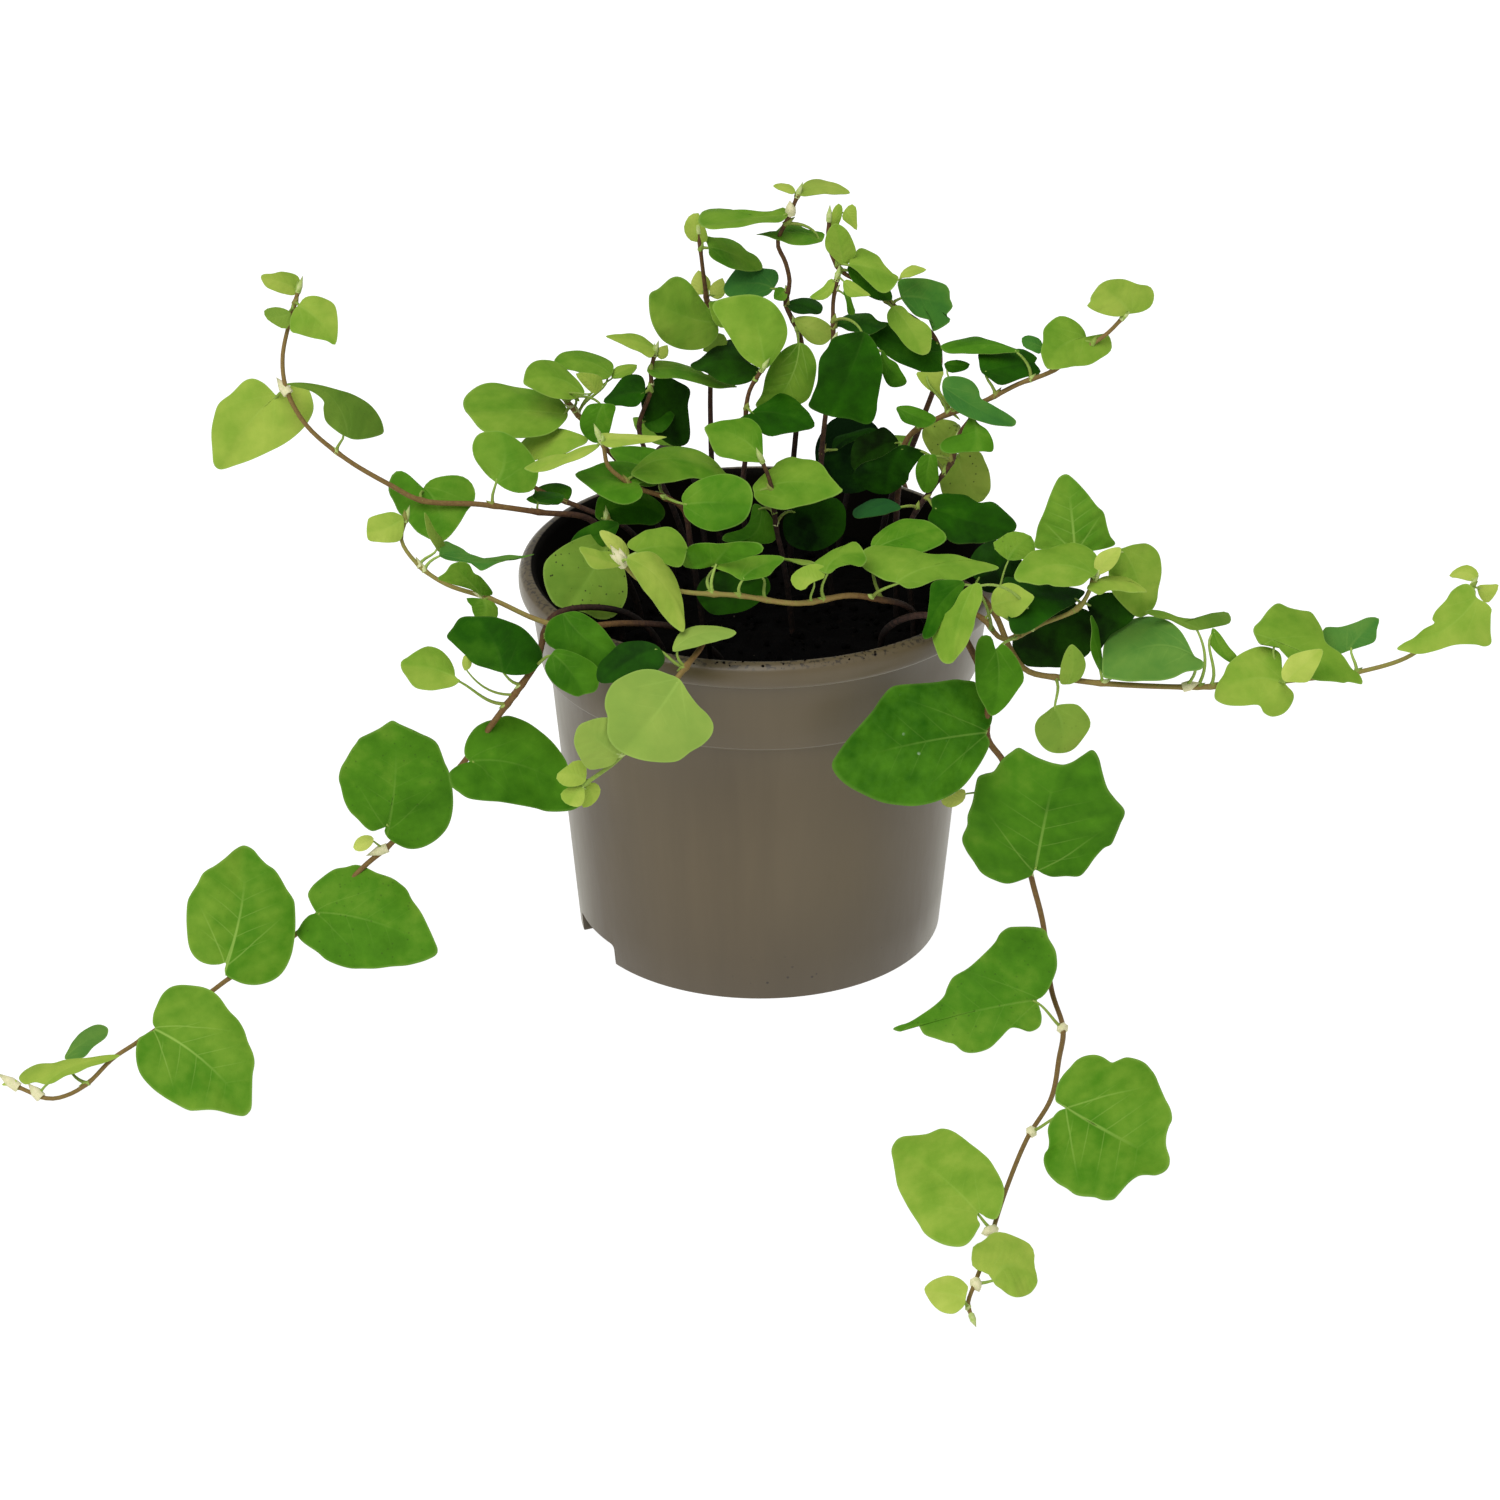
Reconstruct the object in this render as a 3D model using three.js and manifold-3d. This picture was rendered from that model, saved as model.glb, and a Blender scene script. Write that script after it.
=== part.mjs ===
// Creeping fig in a round nursery pot: millimetres, +Z up.
// The origin is the middle of the pot's underside, and -Y is the side seen from the front.

import * as THREE from "three";
import { mergeVertices } from "three/addons/utils/BufferGeometryUtils.js";
import Module from "manifold-3d";

const wasm = await Module();
wasm.setup();

// Driving dimensions of the pot
const lipRadius = 60;
const potHeight = 99;
const footRadius = 45.8;
const wallThickness = 1.7;
const collarFoot = 73;
const bodyTopRadius = 52.6;
const collarStep = 2.2;
const collarSlope = 1.2;
const collarTop = 92.3;
const collarTopRadius = 57.2;
const lipThickness = 5.4;
const lipTopWidth = 3.2;
const lipRounding = 2.6;
const footHeight = 6;
const footWidth = 3.2;
const floorThickness = 1.6;
const padRadius = 16;
const channelInnerRadius = 19;
const channelSlope = 1.2;
const drainHoleCount = 6;
const drainHoleRadius = 4;
const drainCircleRadius = 30;
const drillLength = 10;
const notchWidth = 20;
const notchHeight = 5.6;
const notchDepth = 14;
const notchBearings = [205, 25];
const potFacets = 32;

// Driving dimensions of the soil and of what grows
const soilLevel = 83.5;
const soilCrown = 2.5;
const gap = 0.3;
const rootDepth = 6;
const holeRoom = 1.3;
const stemRadius = 0.95;
const stemSides = 4;
const stemStep = 12;
const petioleRadius = 0.6;
const petioleTipRadius = 0.22;
const petioleSides = 3;
const bladeThickness = 0.7;
const bladeEntry = 1.3;
const bladeEntryShare = 0.3;
const largeRibShares = [0.3, 0.66];
const otherRibShares = [0.45];
const largeLeaf = 21;
const smallLeaf = 8;
const leafFold = 0.16;
const leafDroop = 0.1;
const leafCurl = 0.1;
const placesPerStep = 12;

// Where the plant is looked at from: its points below are noted as seen from there
const sightDistance = 1500;
const sightTilt = 26.8;
const sightAim = new THREE.Vector3(-2.5, 0, 46.4);

// Leaves are turned about their midribs towards the upper side, or where that is level, to the right
const rightShare = 0.3;

const degrees = Math.PI / 180;
const upAxis = new THREE.Vector3(0, 1, 0);
const sightBack = new THREE.Vector3(0, -Math.cos(sightTilt * degrees), Math.sin(sightTilt * degrees));
const sightUp = new THREE.Vector3(0, Math.sin(sightTilt * degrees), Math.cos(sightTilt * degrees));
const sightEye = sightAim.clone().addScaledVector(sightBack, sightDistance);

// One side of each leaf form, from the notch to just before the tip: along the midrib and out from it,
// as shares of the length and of the width
const forms = {
  heart: [[-0.1, 0.14], [-0.12, 0.32], [0.03, 0.46], [0.27, 0.5], [0.52, 0.41], [0.78, 0.22]],
  deep: [[-0.2, 0.16], [-0.24, 0.34], [-0.06, 0.48], [0.22, 0.5], [0.52, 0.38], [0.8, 0.17]],
  round: [[-0.06, 0.12], [-0.08, 0.3], [0.1, 0.45], [0.38, 0.5], [0.67, 0.42], [0.89, 0.24]],
  oval: [[0.0, 0.12], [0.06, 0.3], [0.24, 0.46], [0.48, 0.5], [0.7, 0.38], [0.88, 0.19]],
  drawn: [[-0.1, 0.16], [-0.14, 0.36], [0.02, 0.5], [0.26, 0.47], [0.5, 0.3], [0.74, 0.1]],
  angular: [[-0.06, 0.2], [-0.02, 0.34], [0.24, 0.5], [0.56, 0.5], [0.92, 0.42], [0.9, 0.2]],
  wavy: [[-0.1, 0.16], [-0.14, 0.3], [0.08, 0.47], [0.3, 0.44], [0.55, 0.5], [0.84, 0.3]],
};

// Every shoot: its root in the soil (x, y), its route as points (across, rise, away), and its leaves.
// Across and rise are measured in the picture plane through sightAim, and away is the point's own y.
// A leaf is: notch (across, rise, away), tip (across, rise, away), width, turn about the midrib, form.
const shoots = [
  {
    name: "shoot_left_high",
    root: [-30, -4],
    route: [
      [-33, 47, -5], [-40, 58, -5], [-53, 60, -7], [-68, 62, -9], [-83, 63, -9], [-91, 67, -8],
      [-102, 73.5, -6], [-112, 82, -4], [-117, 91, -2], [-118, 99, 0], [-116, 109, 3], [-114, 116, 5],
    ],
    leaves: [
      [-114, 116, 6, -123.5, 120, 3, 7, 35, "oval"],
      [-114, 112.5, 1, -104.5, 102.5, -3, 12, 0, "deep"],
      [-119.5, 89.5, 2, -133.5, 71, -3, 20, 0, "heart"],
      [-102, 79, -6, -117, 92.5, -12, 11, 10, "oval"],
      [-82.5, 66, -3, -79, 52, -16, 20.5, 0, "deep"],
      [-64, 67.5, -7, -63, 80.5, 2, 16.5, 0, "heart"],
      [-54, 63, -5, -47, 65, 0, 8, 55, "oval"],
      [-116, 110.5, 1, -122.5, 110, 0, 5.5, 0, "oval"],
    ],
  },
  {
    name: "shoot_left_middle",
    root: [-9, -34],
    route: [
      [-12, 27, -38], [-19, 31, -41], [-32, 32, -43], [-46, 31, -46], [-54, 33, -43], [-65, 38, -38],
      [-77, 42, -34], [-84, 47, -31], [-88, 53, -28], [-87, 58, -26],
    ],
    leaves: [
      [-87.5, 58.5, -27, -97, 55, -30, 8, 0, "heart"],
      [-78.5, 50, -27, -82, 60, -29, 3.5, 30, "oval"],
      [-78.5, 49.5, -30, -54.5, 49.5, -33, 17, 65, "drawn"],
      [-68, 39, -39, -75.5, 47, -44, 8, 10, "round"],
      [-67.5, 38, -40, -68.5, 32.5, -44, 9, 20, "round"],
    ],
  },
  {
    name: "shoot_left_trailing",
    root: [-24, -26],
    route: [
      [-30, 34, -28], [-42, 36, -31], [-50, 33.5, -35], [-54, 22, -46], [-58, 16, -49], [-64, 8, -48],
      [-73, -4, -44], [-84, -16, -38], [-91, -24, -36], [-97, -29, -37], [-114, -46, -46],
      [-132, -58, -58], [-136, -61, -62], [-155, -74, -90], [-161, -78, -94], [-167, -84, -96],
      [-172, -87, -99], [-177, -88, -101], [-185, -85, -98],
    ],
    leaves: [
      [-62.5, 19.5, -51, -69.5, 34, -53, 19, 0, "round"],
      [-73, 17.5, -52, -88, 22.5, -50, 13, 35, "oval"],
      [-72, 20, -53, -72, 24, -53, 2.5, 20, "oval"],
      [-71, -3, -52, -42, -13, -54, 23, 12, "heart"],
      [-91.5, -20, -43, -90.5, 8, -50, 28.5, 0, "heart"],
      [-95, -22.5, -37, -100, -24.5, -38, 3.5, 0, "oval"],
      [-109.5, -41, -44, -78.5, -50.5, -56, 26, 15, "heart"],
      [-132.5, -54, -56, -128, -24, -40, 27.5, 0, "round"],
      [-150, -70.5, -90, -126.5, -91.5, -108, 27, 12, "heart"],
      [-173, -78, -88, -162, -70.5, -80, 8, 40, "oval"],
      [-178, -84.5, -100, -159, -77, -97, 10, 45, "oval"],
      [-185, -83.5, -98, -189, -84.5, -98, 1.5, 20, "oval"],
      [-47, 34.5, -46, -33.5, 23.5, -54, 11.5, 0, "heart"],
      [-50, 24.5, -54, -42, 14, -60, 10.5, 0, "round"],
    ],
  },
  {
    name: "shoot_front_hanging",
    root: [-12, -38],
    route: [
      [-11, 28, -53], [-13, 25, -61], [-17, 20, -67], [-22, 13, -71], [-28, 5, -72], [-33, -2, -71],
      [-38, -6, -70], [-44, -10, -69],
    ],
    leaves: [
      [-19.5, 25, -66, -3.5, 29.5, -64, 8, 40, "oval"],
      [-18, 18, -73, -32, -1, -77, 26, 0, "round"],
      [-33, -1.5, -72, -42.5, 6.5, -75, 13, 0, "heart"],
      [-41.5, -8, -70, -48.5, -6, -71, 7, 0, "oval"],
      [-42, -9.5, -70, -45.5, -14, -72, 5.5, 0, "oval"],
      [-41.5, -9, -68, -40, -14, -68, 5.5, 0, "oval"],
      [-23, 26, -63, -38.5, 17.5, -66, 10.5, 20, "oval"],
    ],
  },
  {
    name: "shoot_front_across",
    root: [42, -22],
    route: [
      [45, 28, -24], [40, 36, -34], [33, 38, -42], [25, 39, -46], [12, 37, -50], [-3, 39, -51],
      [-17, 40, -51], [-28, 43, -51], [-32, 47, -51],
    ],
    leaves: [
      [-32.5, 46.5, -52, -43, 51, -55, 7.5, 50, "oval"],
      [-31.5, 47.5, -49, -38, 55, -48, 4.5, 30, "oval"],
      [-31, 48.5, -56, -17, 29.5, -65, 12.5, 40, "oval"],
      [-29, 50, -49, -16, 52, -43, 12.5, 35, "round"],
      [-9.5, 46, -39, 16.5, 47, -38, 5.5, 50, "drawn"],
      [-2.5, 43, -53, 8.5, 48.5, -50, 8.5, 20, "oval"],
      [-9, 46.5, -49, -3, 52.5, -57, 13, 0, "round"],
      [19, 44.5, -51, 28.5, 50.5, -45, 9.5, 40, "heart"],
      [37, 42, -48, 63, 46, -43, 20, 45, "deep"],
      [31, 50.5, -33, 46.5, 57, -29, 13, 45, "round"],
      [17, 43, -52, 10.5, 44, -52, 7.5, 20, "round"],
      [4, 44, -44, -12.5, 37, -44, 11, 0, "round"],
    ],
  },
  {
    name: "shoot_left_inner",
    root: [-34, -16],
    route: [[-35, 50, -16], [-36, 58, -15]],
    leaves: [
      [-35.5, 53, -16, -46.5, 35.5, -30, 21.5, 0, "round"],
      [-38.5, 58.5, -14, -21.5, 59.5, -9, 10, 20, "round"],
      [-33, 57, -17, -45, 52, -16, 6, 0, "oval"],
    ],
  },
  {
    name: "shoot_left_low",
    root: [-26, 10],
    route: [[-30, 55, 8], [-42, 61, 9], [-50, 64, 11], [-57, 68, 12], [-60, 71, 12]],
    leaves: [
      [-60, 70.5, 12, -66, 77.5, 10, 4, 20, "oval"],
      [-57, 72, 9, -41, 78.5, 5, 11, 35, "oval"],
      [-46, 63, 10, -56.5, 63.5, 14, 7, 30, "oval"],
    ],
  },
  {
    name: "shoot_left_bushy",
    root: [-22, 20],
    route: [[-28, 66, 20], [-38, 78, 20], [-43, 84, 19], [-47, 89, 18]],
    leaves: [
      [-46, 84.5, 17, -72.5, 87.5, 15, 22, 50, "round"],
      [-35, 94.5, 27, -49.5, 98, 25, 10.5, 45, "oval"],
      [-42, 89.5, 16, -57, 94, 13, 13.5, 40, "round"],
      [-43, 88, 22, -55, 97, 25, 4, 20, "oval"],
      [-39, 90, 6, -44, 95, 4, 4.5, 0, "heart"],
      [-35, 94, 28, -28.5, 97, 27, 4.5, 40, "oval"],
      [-37, 87.5, 7, -39, 77.5, 4, 8, 0, "oval"],
    ],
  },
  {
    name: "shoot_middle_left",
    root: [-14, -16],
    route: [
      [-15, 52, -17], [-17, 61, -18], [-22, 64, -19], [-28, 66, -21], [-33, 69, -22], [-36, 72, -22],
      [-37, 77, -22], [-38, 79, -22],
    ],
    leaves: [
      [-38, 78, -22, -21, 79, -24, 7, 58, "oval"],
      [-38, 77, -22, -57, 71, -26, 8, 58, "oval"],
      [-30, 69.5, -20, -4.5, 68.5, -17, 19.5, 48, "oval"],
      [-28, 67, -22, -44, 71, -18, 18, 52, "heart"],
      [-23, 70, -8, -35, 77, -3, 14, 45, "heart"],
      [-17, 62, -29, 0.5, 62, -34, 14.5, 10, "heart"],
    ],
  },
  {
    name: "shoot_left_upright",
    root: [-16, 12],
    route: [[-19, 60, 14], [-27, 77, 17], [-28, 82, 18], [-25, 91, 19], [-25, 96, 20], [-24, 100, 20]],
    leaves: [
      [-24, 101, 20, -36.5, 104.5, 18, 7.5, 45, "oval"],
      [-26, 96, 19, -3, 91.5, 16, 13, 58, "oval"],
      [-23, 99, 20, -21, 102, 19, 3, 0, "oval"],
      [-26.5, 90, 17, -37, 88, 14, 10, 30, "round"],
      [-25.5, 92.5, 22, -16.5, 77, 22, 14, 20, "round"],
      [-27, 83, 20, -19, 85, 22, 8, 20, "oval"],
    ],
  },
  {
    name: "shoot_back_left_upright",
    root: [-9, 24],
    route: [[-9, 62, 25], [-10, 85, 27], [-10, 102, 28], [-11, 114, 28], [-12, 122, 28], [-13, 131, 28]],
    leaves: [
      [-13.5, 128, 28, -13, 135.5, 27, 6, 0, "round"],
      [-10.5, 127, 27, 3, 121.5, 25, 12, 48, "oval"],
      [-8.5, 108, 21, -25.5, 114.5, 11, 16.5, 0, "round"],
      [-12, 115, 29, -13, 121, 30, 5, 0, "oval"],
      [-9, 114, 28, -7, 119, 28, 4, 0, "oval"],
      [-8, 112, 30, -16, 106, 30, 7, 20, "oval"],
      [-6, 104, 25, -12, 101, 24, 5, 20, "oval"],
      [-4, 108, 22, -10, 113, 21, 7, 20, "oval"],
    ],
  },
  {
    name: "shoot_top",
    root: [8, 14],
    route: [
      [10, 60, 16], [12, 85, 18], [13, 103, 20], [9, 113, 20], [10, 118, 20], [9, 123, 20],
      [7, 128, 20], [10, 135, 20], [12, 140, 20],
    ],
    leaves: [
      [12, 140.5, 20, 25.5, 140.5, 18, 6.5, 35, "oval"],
      [11.5, 141, 20, 6, 142.5, 19, 4, 50, "oval"],
      [9.5, 135, 19, -13, 134, 16, 21.5, 62, "oval"],
      [18.5, 129, 20, 1.5, 130, 18, 18.5, 60, "oval"],
      [9, 116, 20, 6, 114, 19, 4, 20, "oval"],
      [6, 116.5, 22, -6.5, 116.5, 26, 11, 25, "round"],
      [9, 112.5, 20, 18.5, 111, 22, 8.5, 50, "oval"],
      [11, 108.5, 19, 21, 104.5, 16, 6.5, 0, "round"],
      [12.5, 103, 14, 4, 85.5, 9, 12, 0, "round"],
    ],
  },
  {
    name: "shoot_middle",
    root: [0, 4],
    route: [[-2, 62, 4], [-1, 76, 6], [-1, 86, 6], [0, 91, 6], [3, 96, 6]],
    leaves: [
      [4, 96.5, 6, 0, 115, 12, 17, 0, "round"],
      [2.5, 95.5, 12, -15, 97, 15, 19, 45, "oval"],
      [0, 85, 2, 16.5, 82, -3, 16.5, 45, "heart"],
    ],
  },
  {
    name: "shoot_middle_tall",
    root: [18, 2],
    route: [[18, 60, 3], [18, 73, 4], [19, 84, 5], [21, 97, 8], [21, 107, 9], [21, 113, 10], [22, 119, 10]],
    leaves: [
      [21.5, 118.5, 10, 15, 114.5, 8, 3.5, 20, "oval"],
      [23.5, 118.5, 5, 30.5, 114.5, 2, 3.5, 20, "oval"],
      [23.5, 116, 10, 25.5, 110, 8, 2, 0, "oval"],
      [21, 106.5, 9, 34.5, 107.5, 12, 10.5, 50, "oval"],
      [29, 105.5, -2, 20, 84.5, -7, 18, 0, "heart"],
      [33, 101, 2, 39.5, 93, 0, 5, 0, "oval"],
      [21, 75.5, 6, 33, 80, 9, 3.5, 20, "oval"],
    ],
  },
  {
    name: "shoot_right_upright",
    root: [30, 12],
    route: [
      [34, 58, 13], [43, 82, 14], [48, 98, 14], [46, 105, 14], [35, 113, 13], [28, 118, 12],
      [23, 121, 12], [20, 127, 12], [20, 134, 12],
    ],
    leaves: [
      [23.5, 122.5, 10, 22, 133, 8, 7, 0, "round"],
      [21, 131, 12, 22.5, 138, 11, 2.5, 0, "oval"],
      [24, 136.5, 12, 27, 131, 11, 4, 0, "oval"],
      [25, 122.5, 8, 37.5, 119.5, 6, 13.5, 45, "oval"],
      [24.5, 121.5, 11, 36, 114, 9, 6, 30, "oval"],
      [38, 114.5, 14, 51, 112, 16, 13.5, 20, "round"],
      [36, 112, 10, 43.5, 99.5, 3, 8, 0, "oval"],
      [37.5, 119.5, 13, 44.5, 121, 12, 4.5, 40, "oval"],
      [48.5, 100.5, 12, 29.5, 107.5, 15, 9, 15, "oval"],
      [35, 74, 17, 16.5, 75.5, 12, 20, 10, "round"],
    ],
  },
  {
    name: "shoot_right_high",
    root: [34, -3],
    route: [
      [37, 60, -5], [38, 70, -5], [40, 79, -5], [48, 84, -5], [59, 88, -5], [63, 90, -5], [68, 92.5, -4],
      [76, 95.5, -3], [84, 101, -2], [90, 105, -1], [94, 109, 0],
    ],
    leaves: [
      [96, 110, 0, 88, 117.5, -2, 14, 0, "round"],
      [85, 104, -1, 75, 96, -11, 15, 0, "deep"],
      [74, 101.5, -3, 68.5, 104, -3, 3.5, 20, "oval"],
      [58.5, 95.5, -3, 72.5, 99, 1, 12, 38, "oval"],
      [68, 101, 0, 48.5, 102, 3, 9.5, 50, "oval"],
      [48.5, 92, -8, 67, 83, -12, 10, 30, "oval"],
      [49, 97.5, 1, 55.5, 97.5, 3, 3, 20, "oval"],
      [44, 95.5, -3, 53, 83, -4, 6, 0, "oval"],
      [37, 86.5, -8, 46.5, 83, -10, 4.5, 20, "oval"],
      [37.5, 78, 0, 26, 71, 0, 8.5, 0, "heart"],
    ],
  },
  {
    name: "shoot_right_low",
    root: [38, -12],
    route: [[40, 56, -12], [46, 66, -11], [51, 73, -10], [53, 80, -9], [56, 84, -9]],
    leaves: [
      [56, 84, -10, 55, 75, -17, 13, 0, "heart"],
      [52.5, 82.5, 1, 43.5, 80, 3, 12, 10, "round"],
      [52.5, 75, -2, 58, 62.5, -3, 12.5, 0, "round"],
      [45.5, 74.5, -12, 44, 65, -13, 6, 0, "oval"],
      [46, 61, -17, 67.5, 56.5, -20, 16.5, 42, "heart"],
      [38, 61.5, -15, 26.5, 58.5, -14, 9.5, 50, "oval"],
      [38.5, 77, -9, 34.5, 64.5, -10, 15, 0, "oval"],
    ],
  },
  {
    name: "shoot_middle_front",
    root: [8, -16],
    route: [[8, 50, -17], [7, 54, -17], [6, 61, -17], [5, 68, -17], [3, 73, -17]],
    leaves: [
      [3, 73, -17, -11.5, 81.5, -12, 14, 28, "round"],
      [1, 65, -17, 23.5, 65.5, -22, 18.5, 38, "heart"],
      [11, 61, -10, 16, 50, -14, 16.5, 0, "round"],
      [3, 61.5, -12, -6.5, 52.5, -13, 9.5, 10, "oval"],
    ],
  },
  {
    name: "shoot_right_front",
    root: [42, -9],
    route: [
      [48, 37, -23], [53, 36, -34], [59, 33, -43], [64, 28, -49], [74, 32, -51], [83, 36, -51],
      [87, 43, -51],
    ],
    leaves: [
      [87.5, 44.5, -51, 93.5, 51, -52, 4.5, 0, "oval"],
      [85, 41, -54, 100, 40, -56, 13, 58, "oval"],
      [87, 44, -53, 66.5, 43.5, -56, 17, 43, "oval"],
      [82, 50, -41, 80, 69.5, -36, 19, 0, "heart"],
      [94, 51, -43, 100.5, 34, -44, 14.5, 15, "round"],
      [83, 38, -46, 64, 43, -48, 15.5, 55, "heart"],
      [83, 36, -41, 79, 21, -43, 19, 0, "heart"],
      [85, 37, -44, 95, 31.5, -46, 15.5, 0, "heart"],
      [61, 36.5, -56, 71.5, 38, -58, 8.5, 0, "heart"],
      [57, 42, -65, 49.5, 22, -70, 14, 45, "oval"],
      [54, 42.5, -60, 44, 28, -64, 7.5, 0, "oval"],
      [62, 25.5, -62, 61, 8.5, -67, 12, 0, "oval"],
      [65, 48, -40, 71, 54, -38, 9, 0, "oval"],
      [57, 43, -33, 67.5, 50, -31, 13, 0, "round"],
    ],
  },
  {
    name: "shoot_right_runner",
    root: [46, 2],
    route: [
      [51, 43, -12], [57, 40, -26], [62, 34, -38], [66, 25, -47], [70, 20, -51], [80, 18, -52],
      [87, 17, -52], [105, 16, -50], [117, 16, -48], [141, 18, -44], [155, 20, -40], [167, 24, -38],
      [176, 32, -36], [182, 41, -35],
    ],
    leaves: [
      [183.5, 38.5, -40, 163.5, 25.5, -45, 16, 0, "heart"],
      [183.5, 43, -33, 176.5, 44, -32, 4.5, 20, "oval"],
      [183.5, 40.5, -34, 189, 41.5, -33, 4.5, 0, "oval"],
      [132, 27.5, -44, 154.5, 17, -50, 19.5, 35, "heart"],
      [151, 25, -36, 159, 33, -34, 11, 10, "oval"],
      [135, 17, -47, 117.5, 13, -52, 17.5, 0, "heart"],
      [135, 17.5, -56, 144.5, 25.5, -58, 7.5, 0, "oval"],
      [112, 24, -54, 89, 19, -57, 21, 32, "oval"],
      [113.5, 30.5, -45, 101, 35.5, -47, 12.5, 40, "oval"],
      [117, 31, -44, 121.5, 22, -46, 4.5, 0, "oval"],
      [80, 16.5, -54, 81.5, 26.5, -55, 6, 0, "oval"],
      [88.5, 19.5, -52, 86.5, 34, -54, 5, 50, "oval"],
      [77, 11, -58, 78, -1, -61, 13.5, 0, "round"],
    ],
  },
  {
    name: "shoot_right_trailing",
    root: [30, -37],
    route: [
      [34, 30, -43], [42, 34, -47], [51, 32, -52], [57, 23, -57], [60, 13, -58], [60, 3, -59],
      [64, -3, -58], [68, -17, -55], [71, -32, -53], [74, -44, -52], [76, -60, -56], [79, -70, -72],
      [78, -78, -89], [76, -88, -108], [70, -98, -127], [65, -110, -149], [62, -119, -165],
      [60, -126, -177], [57, -134, -190], [55, -140, -197], [56, -143, -201],
    ],
    leaves: [
      [59.5, 4.5, -61, 20.5, -3.5, -70, 30, 10, "oval"],
      [54.5, -11, -58, 48, -13, -59, 3.5, 0, "oval"],
      [72, -30.5, -57, 78, -3, -64, 37.5, 0, "angular"],
      [72.5, -63, -72, 36, -70.5, -81, 29, 15, "drawn"],
      [80.5, -90.5, -126, 106, -103, -143, 38.5, 24, "wavy"],
      [57.5, -117, -168, 37, -98.5, -144, 23, 15, "heart"],
      [61, -134, -191, 72.5, -134, -188, 16, 20, "round"],
      [54.5, -138.5, -199, 44, -136, -195, 9.5, 30, "round"],
    ],
  },
  {
    name: "shoot_back_left",
    root: [-14, 36],
    route: [[-15, 71, 46], [-19, 76, 55], [-23, 76, 63], [-26, 68, 68], [-28, 58, 71], [-30, 49, 74]],
    leaves: [
      [-21, 68, 75, -11, 56, 85, 19, 180, "heart"],
      [-29, 58, 79, -42, 47, 86, 17, 180, "round"],
      [-30, 48, 77, -24, 36, 85, 18, 180, "heart"],
      [-17, 77, 52, -29, 85, 60, 15, 60, "oval"],
    ],
  },
  {
    name: "shoot_back_right",
    root: [20, 34],
    route: [[26, 69, 42], [31, 74, 50], [35, 74, 57], [39, 67, 62], [41, 58, 65], [44, 48, 68]],
    leaves: [
      [36, 64, 69, 26, 53, 76, 18, 180, "round"],
      [45, 55, 73, 56, 45, 79, 17, 180, "heart"],
      [44, 47, 71, 37, 35, 79, 17, 180, "heart"],
      [30, 75, 46, 41, 80, 52, 14, 60, "oval"],
    ],
  },
];

// A point given as across, rise and away, in the pot's own x, y and z
function spot(across, rise, away) {
  const seen = sightAim.clone().addScaledVector(sightUp, rise);
  seen.x += across;
  const sight = seen.sub(sightEye);
  return sightEye.clone().addScaledVector(sight, (away - sightEye.y) / sight.y);
}

// A solid for joining and cutting, from a geometry whose surface is closed
function solidOf(geometry) {
  const bare = new THREE.BufferGeometry();
  bare.setAttribute("position", geometry.getAttribute("position").clone());
  if (geometry.index) {
    bare.setIndex(geometry.index.clone());
  }
  const merged = mergeVertices(bare, 1e-4);
  const mesh = new wasm.Mesh({
    numProp: 3,
    vertProperties: new Float32Array(merged.getAttribute("position").array),
    triVerts: new Uint32Array(merged.index.array),
  });
  return new wasm.Manifold(mesh);
}

function geometryOf(solid) {
  const mesh = solid.getMesh();
  const geometry = new THREE.BufferGeometry();
  geometry.setAttribute("position", new THREE.BufferAttribute(new Float32Array(mesh.vertProperties), 3));
  geometry.setIndex(new THREE.BufferAttribute(new Uint32Array(mesh.triVerts), 1));
  geometry.computeVertexNormals();
  return geometry;
}

// The largest body alone: loose scraps go, and small hollows sealed between blades are filled
function wholeBody(solid) {
  return solid.decompose().reduce((best, body) => (body.volume() > best.volume() ? body : best));
}

// A round rod with few sides along a curve
function rod(curve, radius, sides, steps) {
  const section = new THREE.Shape();
  for (let i = 0; i < sides; i += 1) {
    const angle = (i / sides) * 2 * Math.PI;
    const x = radius * Math.cos(angle);
    const y = radius * Math.sin(angle);
    if (i === 0) {
      section.moveTo(x, y);
    } else {
      section.lineTo(x, y);
    }
  }
  section.closePath();
  return solidOf(new THREE.ExtrudeGeometry(section, { steps, extrudePath: curve, bevelEnabled: false }));
}

// The way a leaf lies: its origin at the notch, x along the midrib, y across and z out of the face
function leafFrame(notch, tip, turn) {
  const along = tip.clone().sub(notch);
  const length = along.length();
  along.normalize();
  const facing = sightBack.clone().addScaledVector(along, -sightBack.dot(along)).normalize();
  const aside = new THREE.Vector3().crossVectors(along, facing);
  if (aside.z + rightShare * aside.x < 0) {
    aside.negate();
  }
  const angle = turn * degrees;
  const out = facing.multiplyScalar(Math.cos(angle)).addScaledVector(aside, Math.sin(angle));
  const across = new THREE.Vector3().crossVectors(out, along);
  return { notch, along, across, out, length };
}

// How far the blade stands out of its own plane: folded up along the midrib, tip and edges bent down
function relief(x, y, length, width) {
  const fold = leafFold * Math.abs(y);
  const droop = leafDroop * length * (x / length) ** 2;
  const curl = leafCurl * width * (y / (width / 2)) ** 2;
  return fold - droop - curl;
}

function leafPoint(frame, x, y, width, lift) {
  const z = relief(x, y, frame.length, width) + lift;
  const point = frame.notch.clone().addScaledVector(frame.along, x);
  return point.addScaledVector(frame.across, y).addScaledVector(frame.out, z);
}

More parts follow.
